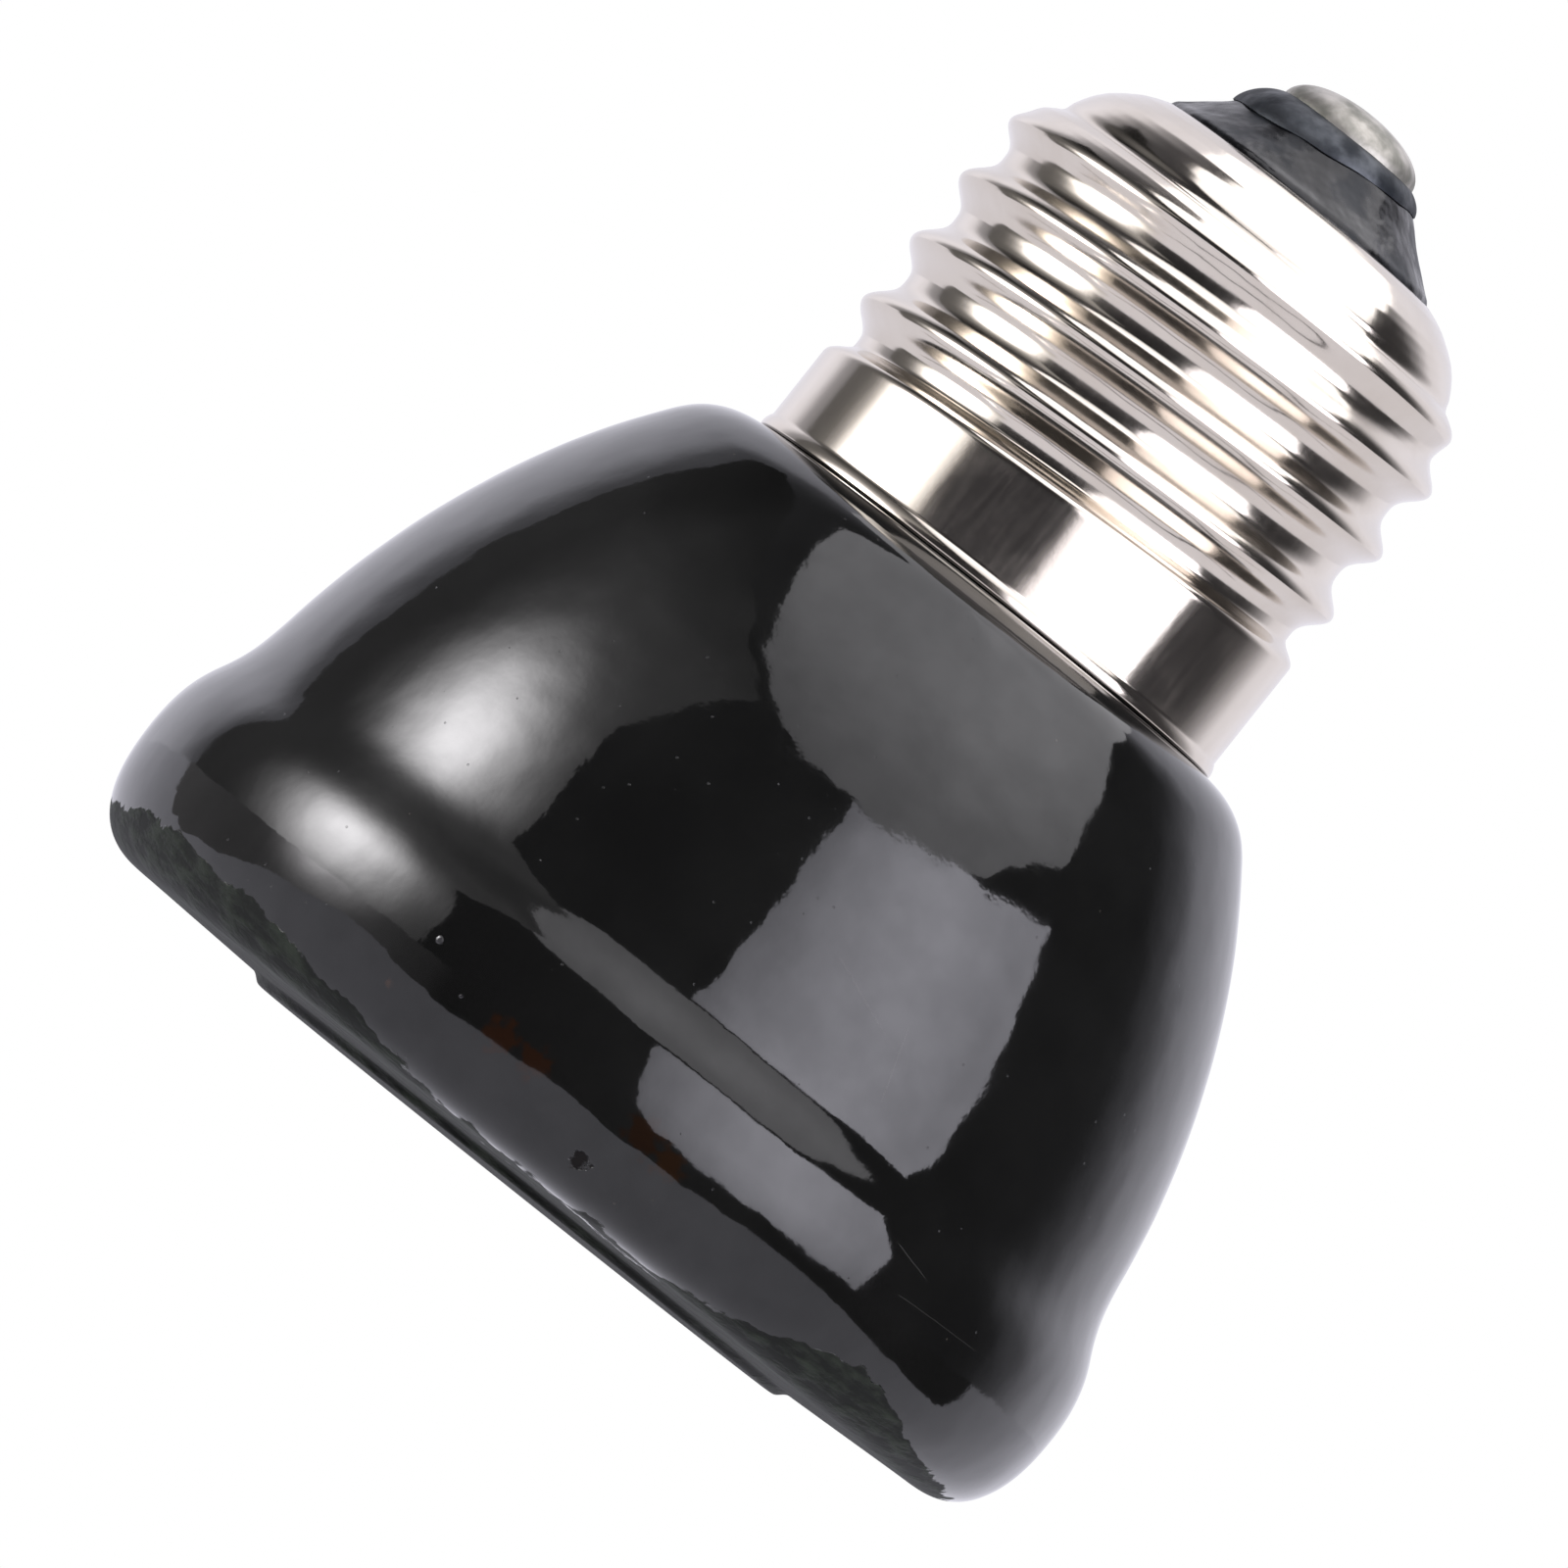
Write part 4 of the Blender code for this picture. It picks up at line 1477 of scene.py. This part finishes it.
GLAZE_MARKS = (
    BlemishOrPaintedHighlight((1.46, -25.58, 2.75), 0.62, "#100c0b", 0.16),
    # The small reddish dot in the middle of this pinhole is a painted highlight, not a stain.
    BlemishOrPaintedHighlight((1.3, -25.62, 2.75), 0.16, "#8a5c4c", -0.1),
    BlemishOrPaintedHighlight((-4.84, -25.83, 4.75), 1.0, "#22130b"),
    BlemishOrPaintedHighlight((-3.04, -26.12, 4.85), 0.9, "#22130b"),
    BlemishOrPaintedHighlight((3.04, -26.22, 5.3), 1.1, "#1e120b"),
    BlemishOrPaintedHighlight((4.62, -25.94, 5.0), 0.9, "#22150c"),
    BlemishOrPaintedHighlight((-10.25, -23.92, 3.6), 0.3, "#2e2019"),
    BlemishOrPaintedHighlight((5.07, -25.42, 3.3), 0.18, "#4a4733"),
    BlemishOrPaintedHighlight((12.27, -20.40, 18.25), 0.16, "#6f675b"),
    BlemishOrPaintedHighlight((5.52, -20.54, 25.23), 0.12, "#544d45"),
    BlemishOrPaintedHighlight((-9.66, -24.66, 6.5), 0.2, "#3a393c", -0.03),
    BlemishOrPaintedHighlight((-7.32, -25.34, 5.1), 0.22, "#2c2b30", -0.03),
)
HAIRLINES = (
    Hairline((19.03, -18.43, 7.04), 4.5, (-0.06, 0.0, 1.0)),
    Hairline((15.97, -20.94, 8.46), 1.4, (0.25, 0.0, 0.97)),
    Hairline((7.3, -23.1, 16.2), 2.6, (0.35, 0.0, 0.94)),
    Hairline((9.8, -22.0, 15.0), 1.8, (0.95, 0.0, 0.31)),
    Hairline((3.0, 24.5, 14.0), 3.5, (0.4, 0.0, 0.92)),
    Hairline((-24.0, 6.0, 9.0), 2.5, (0.0, 0.3, 0.95)),
    Hairline((20.0, 13.0, 18.0), 3.0, (0.2, 0.5, 0.84)),
)


EYELET_TIN = SoftMetal("tinned eyelet, oxidised", "#54575b", "#2c2f33", 0.45, 0.8, 0.05)
SOFT_SOLDER = SoftMetal("soft solder", "#b9b5ae", "#77776f", 0.42, 0.8, 0.03)


def main() -> None:
    """Builds the object's pieces in order, then the studio and the camera."""
    logging.basicConfig(level=logging.INFO, format="%(name)s: %(message)s")
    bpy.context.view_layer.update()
    bpy.context.scene.view_settings.view_transform = "Standard"

    bell = GlazedBell()
    shell = ScrewShell(seat=bell.height + 0.3)
    glass = GlassPlug(shell)
    tip = ContactTip(glass)
    pieces = [
        bell.build(BlackGlaze("black gloss glaze", blemishes_and_highlights=GLAZE_MARKS, hairlines=HAIRLINES)),
        shell.build(NickelPlate("nickel plate on rolled brass")),
        glass.build(MouldedGlass("black insulating glass")),
        tip.build_eyelet(EYELET_TIN),
        tip.build_solder(SOFT_SOLDER),
    ]
    for piece in pieces:
        LOG.info("%s has %d faces", piece.name, len(piece.data.polygons))
    finishes: dict[str, Finish] = {"basing_cement": SetCement("set basing cement")}
    for side in ("centre", "side"):
        wire = SoftMetal(f"nickel wire, {side}", "#c4bdb3", "#a39b90", 0.3, 0.3, 0.004)
        finishes[f"{side}_lead"] = wire
    dress_solids(finishes)
    Studio().build()
    Camera().build()


if __name__ == "__main__":
    main()
